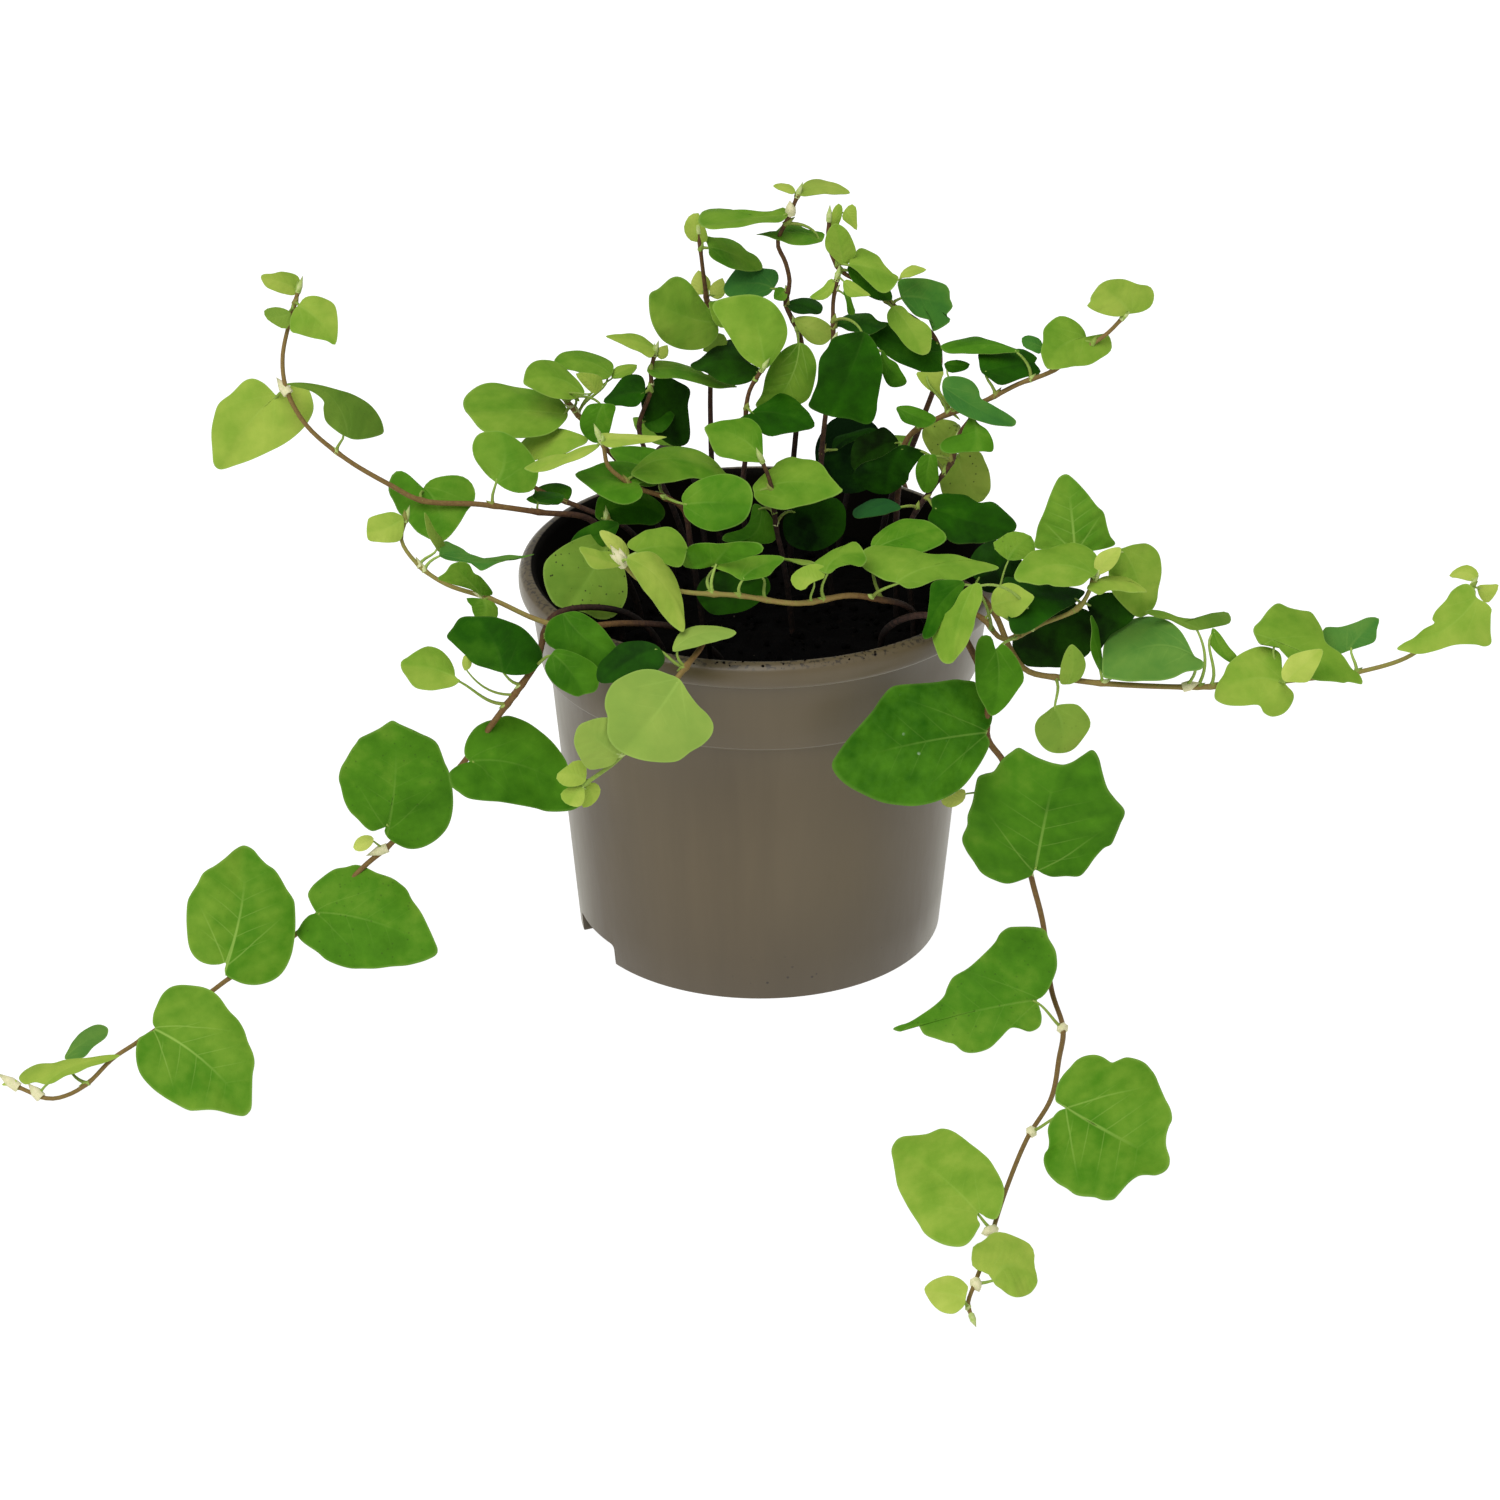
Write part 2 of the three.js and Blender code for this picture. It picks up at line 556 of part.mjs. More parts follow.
// One side of the outline, thinned on small leaves and a single corner on buds
function sidePoints(form, length) {
  const all = forms[form];
  if (length > largeLeaf) {
    return all;
  }
  if (length > smallLeaf) {
    return [all[1], all[3], all[5]];
  }
  return [all[3]];
}

// A blade of even thickness, with the same triangles on both faces
function blade(frame, width, form) {
  const side = sidePoints(form, frame.length);
  const ribShares = frame.length > largeLeaf ? largeRibShares : otherRibShares;
  const outline = [[0, 0]];
  side.forEach(([x, y]) => outline.push([x * frame.length, y * width]));
  outline.push([frame.length, 0]);
  side.slice().reverse().forEach(([x, y]) => outline.push([x * frame.length, -y * width]));
  const rib = ribShares.map((share) => [share * frame.length, 0]);
  const flat = outline.concat(rib);
  const tipIndex = side.length + 1;
  const ribIndex = rib.map((_, i) => outline.length + i).reverse();
  const halves = [
    [0, ...side.map((_, i) => i + 1), tipIndex, ...ribIndex],
    [0, ...side.map((_, i) => outline.length - 1 - i), tipIndex, ...ribIndex],
  ];
  const faces = [];
  halves.forEach((ring) => {
    const contour = ring.map((i) => new THREE.Vector2(flat[i][0], flat[i][1]));
    THREE.ShapeUtils.triangulateShape(contour, []).forEach((face) => {
      const [a, b, c] = face.map((i) => ring[i]);
      const [ax, ay] = flat[a];
      const doubleArea = (flat[b][0] - ax) * (flat[c][1] - ay) - (flat[b][1] - ay) * (flat[c][0] - ax);
      faces.push(doubleArea > 0 ? [a, b, c] : [a, c, b]);
    });
  });
  const positions = [];
  [bladeThickness / 2, -bladeThickness / 2].forEach((lift) => {
    flat.forEach(([x, y]) => positions.push(...leafPoint(frame, x, y, width, lift)));
  });
  const under = flat.length;
  const triangles = [];
  faces.forEach(([a, b, c]) => triangles.push(a, b, c, under + a, under + c, under + b));
  outline.forEach((_, i) => {
    const next = (i + 1) % outline.length;
    triangles.push(i, next, under + i, next, under + next, under + i);
  });
  const geometry = new THREE.BufferGeometry();
  geometry.setAttribute("position", new THREE.Float32BufferAttribute(positions, 3));
  geometry.setIndex(triangles);
  return solidOf(geometry);
}

// Places close together along the middle of a stem
function stemPlaces(line, steps) {
  const stations = line.getSpacedPoints(steps);
  const places = [stations[0]];
  stations.slice(1).forEach((next, i) => {
    for (let j = 1; j <= placesPerStep; j += 1) {
      places.push(stations[i].clone().lerp(next, j / placesPerStep));
    }
  });
  return places;
}

// The leaf's stalk: straight and tapered, from the nearest place on the stem into the blade's thickness
function petiole(places, frame, width) {
  const nearer = (a, b) => (b.distanceTo(frame.notch) < a.distanceTo(frame.notch) ? b : a);
  const foot = places.reduce(nearer).clone();
  const end = leafPoint(frame, Math.min(bladeEntry, bladeEntryShare * frame.length), 0, width, 0);
  const run = end.clone().sub(foot);
  const stalk = new THREE.CylinderGeometry(petioleTipRadius, petioleRadius, run.length(), petioleSides);
  stalk.applyQuaternion(new THREE.Quaternion().setFromUnitVectors(upAxis, run.clone().normalize()));
  stalk.translate(...foot.lerp(end, 0.5).toArray());
  return solidOf(stalk);
}

// The stem's line, which starts upright in the soil
function stemLine(shoot) {
  const [x, y] = shoot.root;
  const points = [
    new THREE.Vector3(x, y, soilLevel - rootDepth),
    new THREE.Vector3(x, y, soilLevel + soilCrown + 1),
    ...shoot.route.map((place) => spot(...place)),
  ];
  return new THREE.CatmullRomCurve3(points, false, "centripetal");
}

// A leafy stem in one piece: the stem, its leaf stalks and its blades
function leafyStem(shoot) {
  const line = stemLine(shoot);
  const steps = Math.round(line.getLength() / stemStep);
  const places = stemPlaces(line, steps);
  let solid = rod(line, stemRadius, stemSides, steps);
  shoot.leaves.forEach(([nx, nz, ny, tx, tz, ty, width, turn, form]) => {
    const frame = leafFrame(spot(nx, nz, ny), spot(tx, tz, ty), turn);
    solid = solid.add(petiole(places, frame, width)).add(blade(frame, width, form));
  });
  return wholeBody(solid);
}

function turned(profile, facets) {
  const geometry = new THREE.LatheGeometry(profile.map(([r, z]) => new THREE.Vector2(r, z)), facets);
  geometry.rotateX(Math.PI / 2);
  return solidOf(geometry);
}

// An upright drill or block, with its foot at the given height
function upright(geometry, height, x, y, foot) {
  geometry.rotateX(Math.PI / 2);
  geometry.translate(x, y, foot + height / 2);
  return solidOf(geometry);
}

const channelOuterRadius = footRadius - footWidth - channelSlope;
const innerFoot = footHeight + floorThickness;
const innerPadRadius = padRadius - channelSlope;
const innerChannelRadius = channelInnerRadius - 1;
const collarInnerFootRadius = bodyTopRadius + collarStep - wallThickness;

// Pot wall, lip, stepped collar, raised channel round a middle pad, and the foot ring
function potSolid() {
  let pot = turned([
    [0, 0],
    [padRadius, 0],
    [channelInnerRadius, footHeight],
    [channelOuterRadius, footHeight],
    [footRadius - footWidth, 0],
    [footRadius, 0],
    [bodyTopRadius, collarFoot],
    [bodyTopRadius + collarStep, collarFoot + collarSlope],
    [collarTopRadius, collarTop],
    [lipRadius, potHeight - lipThickness],
    [lipRadius, potHeight - lipRounding],
    [lipRadius - 0.45 * lipTopWidth, potHeight - 0.25 * lipRounding],
    [lipRadius - lipTopWidth, potHeight],
    [collarTopRadius - wallThickness, potHeight - 1],
    [collarInnerFootRadius, collarFoot + 1],
    [bodyTopRadius - wallThickness, collarFoot - collarSlope],
    [footRadius - 0.7 * wallThickness, innerFoot + 2],
    [channelOuterRadius + 1, innerFoot],
    [innerChannelRadius, innerFoot],
    [innerPadRadius, floorThickness],
    [0, floorThickness],
  ], potFacets);
  for (let i = 0; i < drainHoleCount; i += 1) {
    const angle = (i / drainHoleCount) * 2 * Math.PI;
    const hole = new THREE.CylinderGeometry(drainHoleRadius, drainHoleRadius, drillLength, 8);
    const x = drainCircleRadius * Math.cos(angle);
    const y = drainCircleRadius * Math.sin(angle);
    pot = pot.subtract(upright(hole, drillLength, x, y, 0.3 * footHeight));
  }
  notchBearings.forEach((bearing) => {
    const block = new THREE.BoxGeometry(notchDepth, notchWidth, 2 * notchHeight);
    block.translate(footRadius, 0, 0);
    block.rotateZ(bearing * degrees);
    pot = pot.subtract(solidOf(block));
  });
  return pot;
}

// Soil filling the pot, a little higher in the middle, with a plain hole for each stem
function soilSolid() {
  let soil = turned([
    [0, floorThickness + gap],
    [innerPadRadius - gap, floorThickness + gap],
    [innerChannelRadius - gap, innerFoot + gap],
    [channelOuterRadius + 0.5, innerFoot + gap],
    [footRadius - wallThickness - gap, innerFoot + 2 + gap],
    [bodyTopRadius - wallThickness - 1.5 * gap, collarFoot - 1],
    [collarInnerFootRadius - 1.5 * gap, collarFoot + 1.4],
    [collarInnerFootRadius + 0.5, soilLevel],
    [0.6 * collarInnerFootRadius, soilLevel + 0.8 * soilCrown],
    [0, soilLevel + soilCrown],
  ], potFacets);
  const holeRadius = stemRadius + holeRoom;
  const foot = soilLevel - rootDepth - gap;
  const drillHeight = rootDepth + 3 * soilCrown;
  shoots.forEach(({ root: [x, y] }) => {
    const drill = new THREE.CylinderGeometry(holeRadius, holeRadius, drillHeight, 6);
    soil = soil.subtract(upright(drill, drillHeight, x, y, foot));
  });
  return soil;
}

// Group of every sub-part
const plant = new THREE.Group();

function place(name, solid, color, roughness) {
  const material = new THREE.MeshStandardMaterial({ color, roughness, metalness: 0, flatShading: true });
  const mesh = new THREE.Mesh(geometryOf(solid), material);
  mesh.name = name;
  plant.add(mesh);
}

place("pot", potSolid(), 0x645848, 0.55);
place("soil", soilSolid(), 0x14100c, 1);
shoots.forEach((shoot) => place(shoot.name, leafyStem(shoot), 0x4f8f2c, 0.5));

export default plant;
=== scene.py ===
import math
import random

import bpy
import numpy as np
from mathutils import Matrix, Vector, noise


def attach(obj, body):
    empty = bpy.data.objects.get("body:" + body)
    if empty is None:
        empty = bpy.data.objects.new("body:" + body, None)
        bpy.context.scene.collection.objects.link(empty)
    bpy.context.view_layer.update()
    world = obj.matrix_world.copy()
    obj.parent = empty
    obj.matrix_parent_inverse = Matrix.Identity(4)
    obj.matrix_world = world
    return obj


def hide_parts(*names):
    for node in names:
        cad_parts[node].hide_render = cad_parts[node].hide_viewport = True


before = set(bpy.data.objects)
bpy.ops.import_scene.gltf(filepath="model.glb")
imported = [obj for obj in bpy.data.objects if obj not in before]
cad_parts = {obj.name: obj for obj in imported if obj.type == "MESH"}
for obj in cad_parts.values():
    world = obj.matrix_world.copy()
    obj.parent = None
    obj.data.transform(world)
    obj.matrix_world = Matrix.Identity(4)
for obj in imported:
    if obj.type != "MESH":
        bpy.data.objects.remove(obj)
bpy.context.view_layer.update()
bpy.ops.object.select_all(action="DESELECT")
mm = 0.001

# ---- The nursery pot
# One thin moulded plastic wall, taupe outside, with a rolled lip, a stepped collar and a foot ring.
# The circle at its underside is drawn up ring by ring, over the lip and down inside to the floor.
pot_sides = 128
outer_rings = [
    (16, 0), (19, 6), (41.4, 6), (42.6, 0), (45.8, 0), (46.93, 12), (48.05, 24), (49.2, 36),
    (50.3, 48), (51.45, 60), (52.6, 73), (54.8, 74.2), (55.6, 80), (56.4, 86), (57.2, 92.3),
    (58.9, 92.6), (59.8, 93.4), (60, 94.6), (60, 96.4), (59.6, 97.8), (58.5, 98.75), (57.1, 99),
]
inner_rings = [
    (56.1, 98.6), (55.5, 97.6), (54.3, 86), (53.1, 74), (50.9, 71.8), (48.8, 50), (46.7, 30),
    (44.6, 9.6), (42.4, 7.6), (18, 7.6), (14.8, 1.6),
]
edge_rounding = 0.35
# How far the wall is out of round, how its waves turn and rise, and below which height they die away
wall_wobble = 0.14
wobble_turns = 2.08
wobble_rise = 0.0288
true_foot_height = 12
inner_skin_depth = 0.9
drain_holes = 6
drain_hole_radius = 4
drain_hole_sides = 24
drain_circle_radius = 30
drain_cut_depth = 12
drain_cut_height = 7
notch_size = (14, 20, 11.2)
notch_rounding = 1.2
notch_bearings = [205, 25]
notch_radius = 45.8


def round_the_axis(radius, angle, height=0):
    """A place at a radius and an angle round the pot's axis, in metres from sizes in mm."""
    return Vector((radius * math.cos(angle), radius * math.sin(angle), height)) * mm


def drawn_up(name, rings, sides):
    """A closed round body, drawn from its first ring through the others; radii and heights in mm."""
    bpy.ops.mesh.primitive_circle_add(
        vertices=sides, radius=rings[0][0] * mm, fill_type="NGON", location=(0, 0, rings[0][1] * mm))
    body = bpy.context.object
    body.name = name
    bpy.ops.object.mode_set(mode="EDIT")
    bpy.ops.mesh.select_all(action="SELECT")
    for (radius, height), (next_radius, next_height) in zip(rings, rings[1:]):
        bpy.ops.mesh.extrude_region_move(
            TRANSFORM_OT_translate={"value": (0, 0, (next_height - height) * mm)})
        bpy.ops.transform.resize(value=(next_radius / radius, next_radius / radius, 1))
    bpy.ops.mesh.select_all(action="SELECT")
    bpy.ops.mesh.normals_make_consistent(inside=False)
    bpy.ops.object.mode_set(mode="OBJECT")
    bpy.ops.object.transform_apply(location=True, rotation=True, scale=True)
    return body


def apply_modifier(body, kind, **settings):
    bpy.context.view_layer.objects.active = body
    modifier = body.modifiers.new(kind.title(), kind)
    for name, value in settings.items():
        setattr(modifier, name, value)
    bpy.ops.object.modifier_apply(modifier=modifier.name)


def cut_away(body, tool):
    apply_modifier(body, "BOOLEAN", operation="DIFFERENCE", solver="EXACT", object=tool)
    bpy.data.objects.remove(tool)


def corners_of(mesh):
    places = np.empty(len(mesh.vertices) * 3)
    mesh.vertices.foreach_get("co", places)
    return places.reshape(-1, 3)


def mark(mesh, name, values):
    """Keeps one number for each corner of the mesh, for its material to read."""
    layer = mesh.attributes.new(name, "FLOAT", "POINT")
    layer.data.foreach_set("value", np.asarray(values, dtype=np.float32))


pot = drawn_up("nursery_pot", outer_rings + inner_rings, pot_sides)
for corner in pot.data.vertices:
    bearing = math.atan2(corner.co.y, corner.co.x)
    level = corner.co.z / mm
    place = Vector((wobble_turns * math.cos(bearing), wobble_turns * math.sin(bearing), wobble_rise * level))
    corner.co += round_the_axis(wall_wobble * noise.noise(place) * min(1, level / true_foot_height), bearing)
apply_modifier(
    pot, "BEVEL", width=edge_rounding * mm, segments=2, limit_method="ANGLE", angle_limit=math.radians(24))

for i in range(drain_holes):
    angle = 2 * math.pi * i / drain_holes
    bpy.ops.mesh.primitive_cylinder_add(
        vertices=drain_hole_sides, radius=drain_hole_radius * mm, depth=drain_cut_depth * mm,
        location=round_the_axis(drain_circle_radius, angle, drain_cut_height))
    cut_away(pot, bpy.context.object)
for bearing in notch_bearings:
    angle = math.radians(bearing)
    bpy.ops.mesh.primitive_cube_add(
        size=1, location=round_the_axis(notch_radius, angle), rotation=(0, 0, angle),
        scale=[side * mm for side in notch_size])
    block = bpy.context.object
    bpy.ops.object.transform_apply(location=True, rotation=True, scale=True)
    apply_modifier(block, "BEVEL", width=notch_rounding * mm, segments=3)
    cut_away(pot, block)

places = corners_of(pot.data) / mm
profile_height, profile_radius = zip(*[(z, r) for r, z in outer_rings[4:]])
wall_radius = np.interp(places[:, 2], profile_height, profile_radius)
radius = np.hypot(places[:, 0], places[:, 1])
mark(pot.data, "inside", ((radius < wall_radius - inner_skin_depth) & (places[:, 2] > 1)).astype(float))
bpy.ops.object.select_all(action="DESELECT")
pot.select_set(True)
bpy.context.view_layer.objects.active = pot
bpy.ops.object.shade_smooth_by_angle(angle=math.radians(35))


class Wire:
    """A shader socket that takes part in sums; without a socket it is where a material's nodes start."""

    def __init__(self, tree, socket=None):
        self.tree, self.socket = tree, socket

    def node(self, kind, settings, values, out=0):
        """Adds a node, sets it, joins or fills its sockets, and gives the wire of one output."""
        made = self.tree.nodes.new(kind)
        for name, value in settings.items():
            if name == "stops":
                ramp = made.color_ramp.elements
                for position, _ in value[2:]:
                    ramp.new(position)
                for stop, (position, colour_there) in zip(ramp, value):
                    stop.position = position
                    stop.color = colour_there
            else:
                setattr(made, name, value)
        for name, value in values.items():
            if isinstance(value, Wire):
                self.tree.links.new(value.socket, made.inputs[name])
            else:
                made.inputs[name].default_value = value
        return Wire(self.tree, made.outputs[out] if len(made.outputs) else None)

    def sum(self, operation, first, second=0.0):
        return self.node("ShaderNodeMath", {"operation": operation}, {0: first, 1: second})

    def __add__(self, other):
        return self.sum("ADD", self, other)

    def __sub__(self, other):
        return self.sum("SUBTRACT", self, other)

    def __rsub__(self, other):
        return self.sum("SUBTRACT", other, self)

    def __mul__(self, other):
        return self.sum("MULTIPLY", self, other)

    def __truediv__(self, other):
        return self.sum("DIVIDE", self, other)

    def __pow__(self, other):
        return self.sum("POWER", self, other)

    __radd__, __rmul__ = __add__, __mul__

    def ramp(self, low, high):
        """From 0 at low to 1 at high, softly; high may be the smaller."""
        settings = {"interpolation_type": "SMOOTHSTEP"}
        if low > high:
            return 1 - self.ramp(high, low)
        return self.node("ShaderNodeMapRange", settings, {"Value": self, "From Min": low, "From Max": high})

    def carried(self, name):
        """The number that a piece's corners carry under this name."""
        return self.node("ShaderNodeAttribute", {"attribute_name": name}, {}, "Fac")

    def mixed(self, share, first, second):
        """One colour over another by a share, which is a wire or a number."""
        return self.node("ShaderNodeMix", {"data_type": "RGBA"}, {0: share, 6: first, 7: second}, 2)


def new_finish(name):
    """An empty material and the wire its nodes start from."""
    material = bpy.data.materials.new(name)
    material.use_nodes = True
    material.node_tree.nodes.clear()
    return material, Wire(material.node_tree)


def colour(red, green, blue):
    """A colour noted as it is seen, from 0 to 255, in the light values that a shader takes."""
    return (*(((c / 255 + 0.055) / 1.055) ** 2.4 for c in (red, green, blue)), 1)


def in_mm(start):
    """The piece's own coordinates in millimetres."""
    own = start.node("ShaderNodeTexCoord", {}, {}, "Object")
    return start.node("ShaderNodeVectorMath", {"operation": "SCALE"}, {0: own, "Scale": 1 / mm})


def stretched(place, x, y, z):
    return place.node("ShaderNodeVectorMath", {"operation": "MULTIPLY"}, {0: place, 1: (x, y, z)})


def clouds(place, size, detail=2.0, roughness=0.5):
    """Soft noise from 0 to 1 whose patches are about as wide as the size in mm."""
    return place.node("ShaderNodeTexNoise", {}, {
        "Vector": place, "Scale": 1 / size, "Detail": detail, "Roughness": roughness})


def spots(place, size, reach):
    """Round specks, each within its own cell of the given size in mm; reach is the specks' radius."""
    cell = place.node("ShaderNodeTexVoronoi", {}, {"Vector": place, "Scale": 1 / size})
    return cell.ramp(reach / size, 0.5 * reach / size)


taupe_plastic, start = new_finish("taupe_plastic")
place = in_mm(start)
inside = start.carried("inside")
height = start.node("ShaderNodeSeparateXYZ", {}, {"Vector": place}, "Z")
streaks = clouds(stretched(place, 1, 1, 0.05), 7, 3, 0.6)
broad = clouds(stretched(place, 1, 1, 0.35), 34)
low_dirt = height.ramp(16, 2) * spots(place, 3.1, 0.42) * clouds(place, 15).ramp(0.5, 0.62)
lip_dirt = height.ramp(97.4, 98.6) * clouds(place, 1.1, 3).ramp(0.52, 0.6)
body = start.mixed(streaks.ramp(0.2, 0.85), colour(78, 66, 42), colour(86, 73, 48))
body = start.mixed(broad.ramp(0.35, 0.7) * 0.5, body, colour(90, 78, 54))
# Painted shade: the wall is darkened towards its foot.
body = start.mixed(height.ramp(40, 0) * 0.6, body, colour(70, 60, 43))
body = start.mixed(height.ramp(73, 75) * 0.4, body, colour(87, 76, 54))
# Painted sheen: where the wall is seen edge-on its colour turns pale grey, standing in for the plastic's
# reflection.
edge = start.node("ShaderNodeLayerWeight", {}, {"Blend": 0.5}, "Facing")
body = start.mixed(edge.ramp(0.55, 1) * 0.7, body, colour(144, 139, 122))
body = start.mixed(low_dirt + lip_dirt * 0.8, body, colour(30, 22, 16))
rub = clouds(stretched(place, 1, 1, 0.2), 2.2, 4, 0.6)
skin = start.node("ShaderNodeBump", {}, {"Strength": 0.25, "Distance": 0.12 * mm, "Height": rub})
shade = start.node("ShaderNodeBsdfPrincipled", {}, {
    "Base Color": body, "Roughness": 0.36 + rub * 0.14, "Normal": skin})
# Painted shade: the inside is nearly black, its soil dust and the shade within the pot painted into its
# colour.
soil_dust_and_painted_shade = start.node("ShaderNodeBsdfPrincipled", {}, {
    "Base Color": start.mixed(streaks, colour(3, 2, 2), colour(9, 7, 6)), "Roughness": 0.9,
    "Specular IOR Level": 0.03})
shade = start.node("ShaderNodeMixShader", {}, {0: inside * 0.97, 1: shade, 2: soil_dust_and_painted_shade})
start.node("ShaderNodeOutputMaterial", {}, {"Surface": shade})
pot.data.materials.append(taupe_plastic)
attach(pot, "root")
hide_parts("pot")

# ---- The soil
# Dark peat mix that fills the pot to a finger's breadth below the lip, a little higher in the middle;
# its colour is painted still darker, near black, as the shade inside the pot.
# One turned plug whose top is broken up by noise, with loose crumbs lying on it and on the lip's front.
soil_sectors = 24
soil_rows = 20
soil_level = 83.5
soil_edge_radius = 53.2
soil_rings = [
    (soil_edge_radius, soil_level), (52.6, 75.4), (50.3, 72), (44.2, 9.9), (42, 8), (17.7, 7.95),
    (14.5, 1.95),
]
soil_crown = 2.5
roughness_height = 1.5
roughness_patch = 4
crumb_count = 420
crumb_reach = 52
crumb_crown_radius = 53
crumb_lift = 0.1
crumb_sizes = (0.35, 1.5)
lip_crumb_count = 46
lip_crumb_bearings = (235, 320)
lip_crumb_reaches = (56.3, 59.2)
lip_crumb_sizes = (0.12, 0.4)
lip_ridge_radius = 57
lip_top = 99

rng = random.Random(7)
bpy.ops.mesh.primitive_circle_add(
    vertices=soil_sectors, radius=soil_edge_radius * mm, fill_type="TRIFAN", location=(0, 0, soil_level * mm))
soil = bpy.context.object
soil.name = "soil_and_crumbs"
bpy.ops.object.transform_apply(location=True, rotation=True, scale=True)
bpy.ops.object.mode_set(mode="EDIT")
bpy.ops.mesh.select_all(action="SELECT")
bpy.ops.mesh.subdivide(number_cuts=soil_rows - 1)
bpy.ops.object.mode_set(mode="OBJECT")
half_sector = math.pi / soil_sectors
for corner in soil.data.vertices:
    # The sectors' straight edges are pushed out to the round, then the crumbs rise towards the middle
    bearing = math.atan2(corner.co.y, corner.co.x)
    chord = math.cos(half_sector) / math.cos((bearing % (2 * half_sector)) - half_sector)
    corner.co.x /= chord
    corner.co.y /= chord
    share = math.hypot(corner.co.x, corner.co.y) / (soil_edge_radius * mm)
    rough = noise.fractal(corner.co / (roughness_patch * mm), 0.8, 2.2, 4) * roughness_height
    corner.co.z += (soil_crown * (1 - share ** 2) + rough * min(1, 6 * (1 - share))) * mm
bpy.ops.object.mode_set(mode="EDIT")
bpy.ops.mesh.select_all(action="SELECT")
bpy.ops.mesh.region_to_loop()
for (radius, height), (next_radius, next_height) in zip(soil_rings, soil_rings[1:]):
    bpy.ops.mesh.extrude_region_move(
        TRANSFORM_OT_translate={"value": (0, 0, (next_height - height) * mm)})
    bpy.ops.transform.resize(value=(next_radius / radius, next_radius / radius, 1))
bpy.ops.mesh.fill()
bpy.ops.mesh.select_all(action="SELECT")
bpy.ops.mesh.normals_make_consistent(inside=False)
bpy.ops.object.mode_set(mode="OBJECT")

bpy.ops.mesh.primitive_ico_sphere_add(subdivisions=1, radius=1)
crumb_model = bpy.context.object
crumbs = []
for i in range(crumb_count + lip_crumb_count):
    on_lip = i >= crumb_count
    bearing = math.radians(rng.uniform(*lip_crumb_bearings) if on_lip else rng.uniform(0, 360))
    reach = rng.uniform(*lip_crumb_reaches) if on_lip else crumb_reach * math.sqrt(rng.random())
    size = rng.uniform(*lip_crumb_sizes) if on_lip else rng.uniform(*crumb_sizes) * rng.uniform(0.6, 1)
    if on_lip:
        level = lip_top - 0.2 * (reach - lip_ridge_radius) ** 2
    else:
        level = soil_level + crumb_lift + soil_crown * (1 - (reach / crumb_crown_radius) ** 2)
    crumb = crumb_model.copy()
    crumb.data = crumb_model.data.copy()
    bpy.context.collection.objects.link(crumb)
    crumb.location = round_the_axis(reach, bearing, level + 0.3 * size)
    crumb.rotation_euler = [rng.uniform(0, 6) for _ in range(3)]
    crumb.scale = [size * rng.uniform(0.6, 1.3) * mm for _ in range(3)]
    crumbs.append(crumb)
bpy.data.objects.remove(crumb_model)


def join_all(first, others):
    """Joins the others into the first and sets its place in its mesh."""
    bpy.ops.object.select_all(action="DESELECT")
    for piece in [first, *others]:
        piece.select_set(True)
    bpy.context.view_layer.objects.active = first
    bpy.ops.object.join()
    bpy.ops.object.transform_apply(location=True, rotation=True, scale=True)
    return first


join_all(soil, crumbs)
bpy.ops.object.shade_smooth_by_angle(angle=math.radians(60))

peat, start = new_finish("peat")
place = in_mm(start)
grain = clouds(place, 1.4, 4, 0.7)
fibre = clouds(stretched(place, 1, 0.35, 1), 0.6, 3, 0.6)
# Painted shade: the peat's colours run to near black for the shade inside the pot.
peat_with_painted_shade = start.node("ShaderNodeValToRGB", {"stops": [
    (0.3, colour(2, 2, 2)), (0.6, colour(7, 5, 4)), (0.85, colour(26, 20, 15))]}, {0: grain})
peat_with_painted_shade = start.mixed(spots(place, 5.2, 0.3) * 0.4, peat_with_painted_shade, colour(90, 82, 70))
crumbly = start.node("ShaderNodeBump", {}, {
    "Strength": 0.7, "Distance": 0.5 * mm, "Height": grain + fibre * 0.5})
shade = start.node("ShaderNodeBsdfPrincipled", {}, {
    "Base Color": peat_with_painted_shade, "Roughness": 0.8 + grain * 0.2, "Specular IOR Level": 0.03, "Normal": crumbly})
start.node("ShaderNodeOutputMaterial", {}, {"Surface": shade})
soil.data.materials.append(peat)
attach(soil, "root")
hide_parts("soil")

# ---- The leafy stems
# Each is one growth: a wiry stem rooted in the soil, and at every leaf a papery sheath, a thin stalk and a
# blade. Stems and stalks are lines given their thickness. The blade is modelled once in four finenesses,
# and each copy is cut to its leaf's outline, folded, bent and waved as it is laid at its notch and tip.

# Where the plant is looked at from: its points below are noted as seen from there
sight_distance = 1500
sight_tilt = math.radians(26.8)
sight_aim = Vector((-2.5, 0, 46.4))
sight_back = Vector((0, -math.cos(sight_tilt), math.sin(sight_tilt)))
sight_up = Vector((0, math.sin(sight_tilt), math.cos(sight_tilt)))
sight_eye = sight_aim + sight_back * sight_distance

root_depth = 6
straight_rise = 3.5
stem_base_radius = 0.88
stem_tip_radius = 0.5
stem_radius_limit = 1.5
stem_sides = 8
stem_spacing = 1.6
# How far along a stem its bark is at its darkest, and from where it is in full colour;
# the darkening is painted shade low in the plant
shaded_run = (26, 60)
knot_swell = 0.22
knot_length = 1.1
stalk_foot_radius = 0.48
stalk_tip_radius = 0.27
stalk_sides = 6
stalk_spacing = 1.3
stalk_steps = (3, 14)
stalk_run_in = 1.1
stalk_skin_range = (0.72, 0.82)
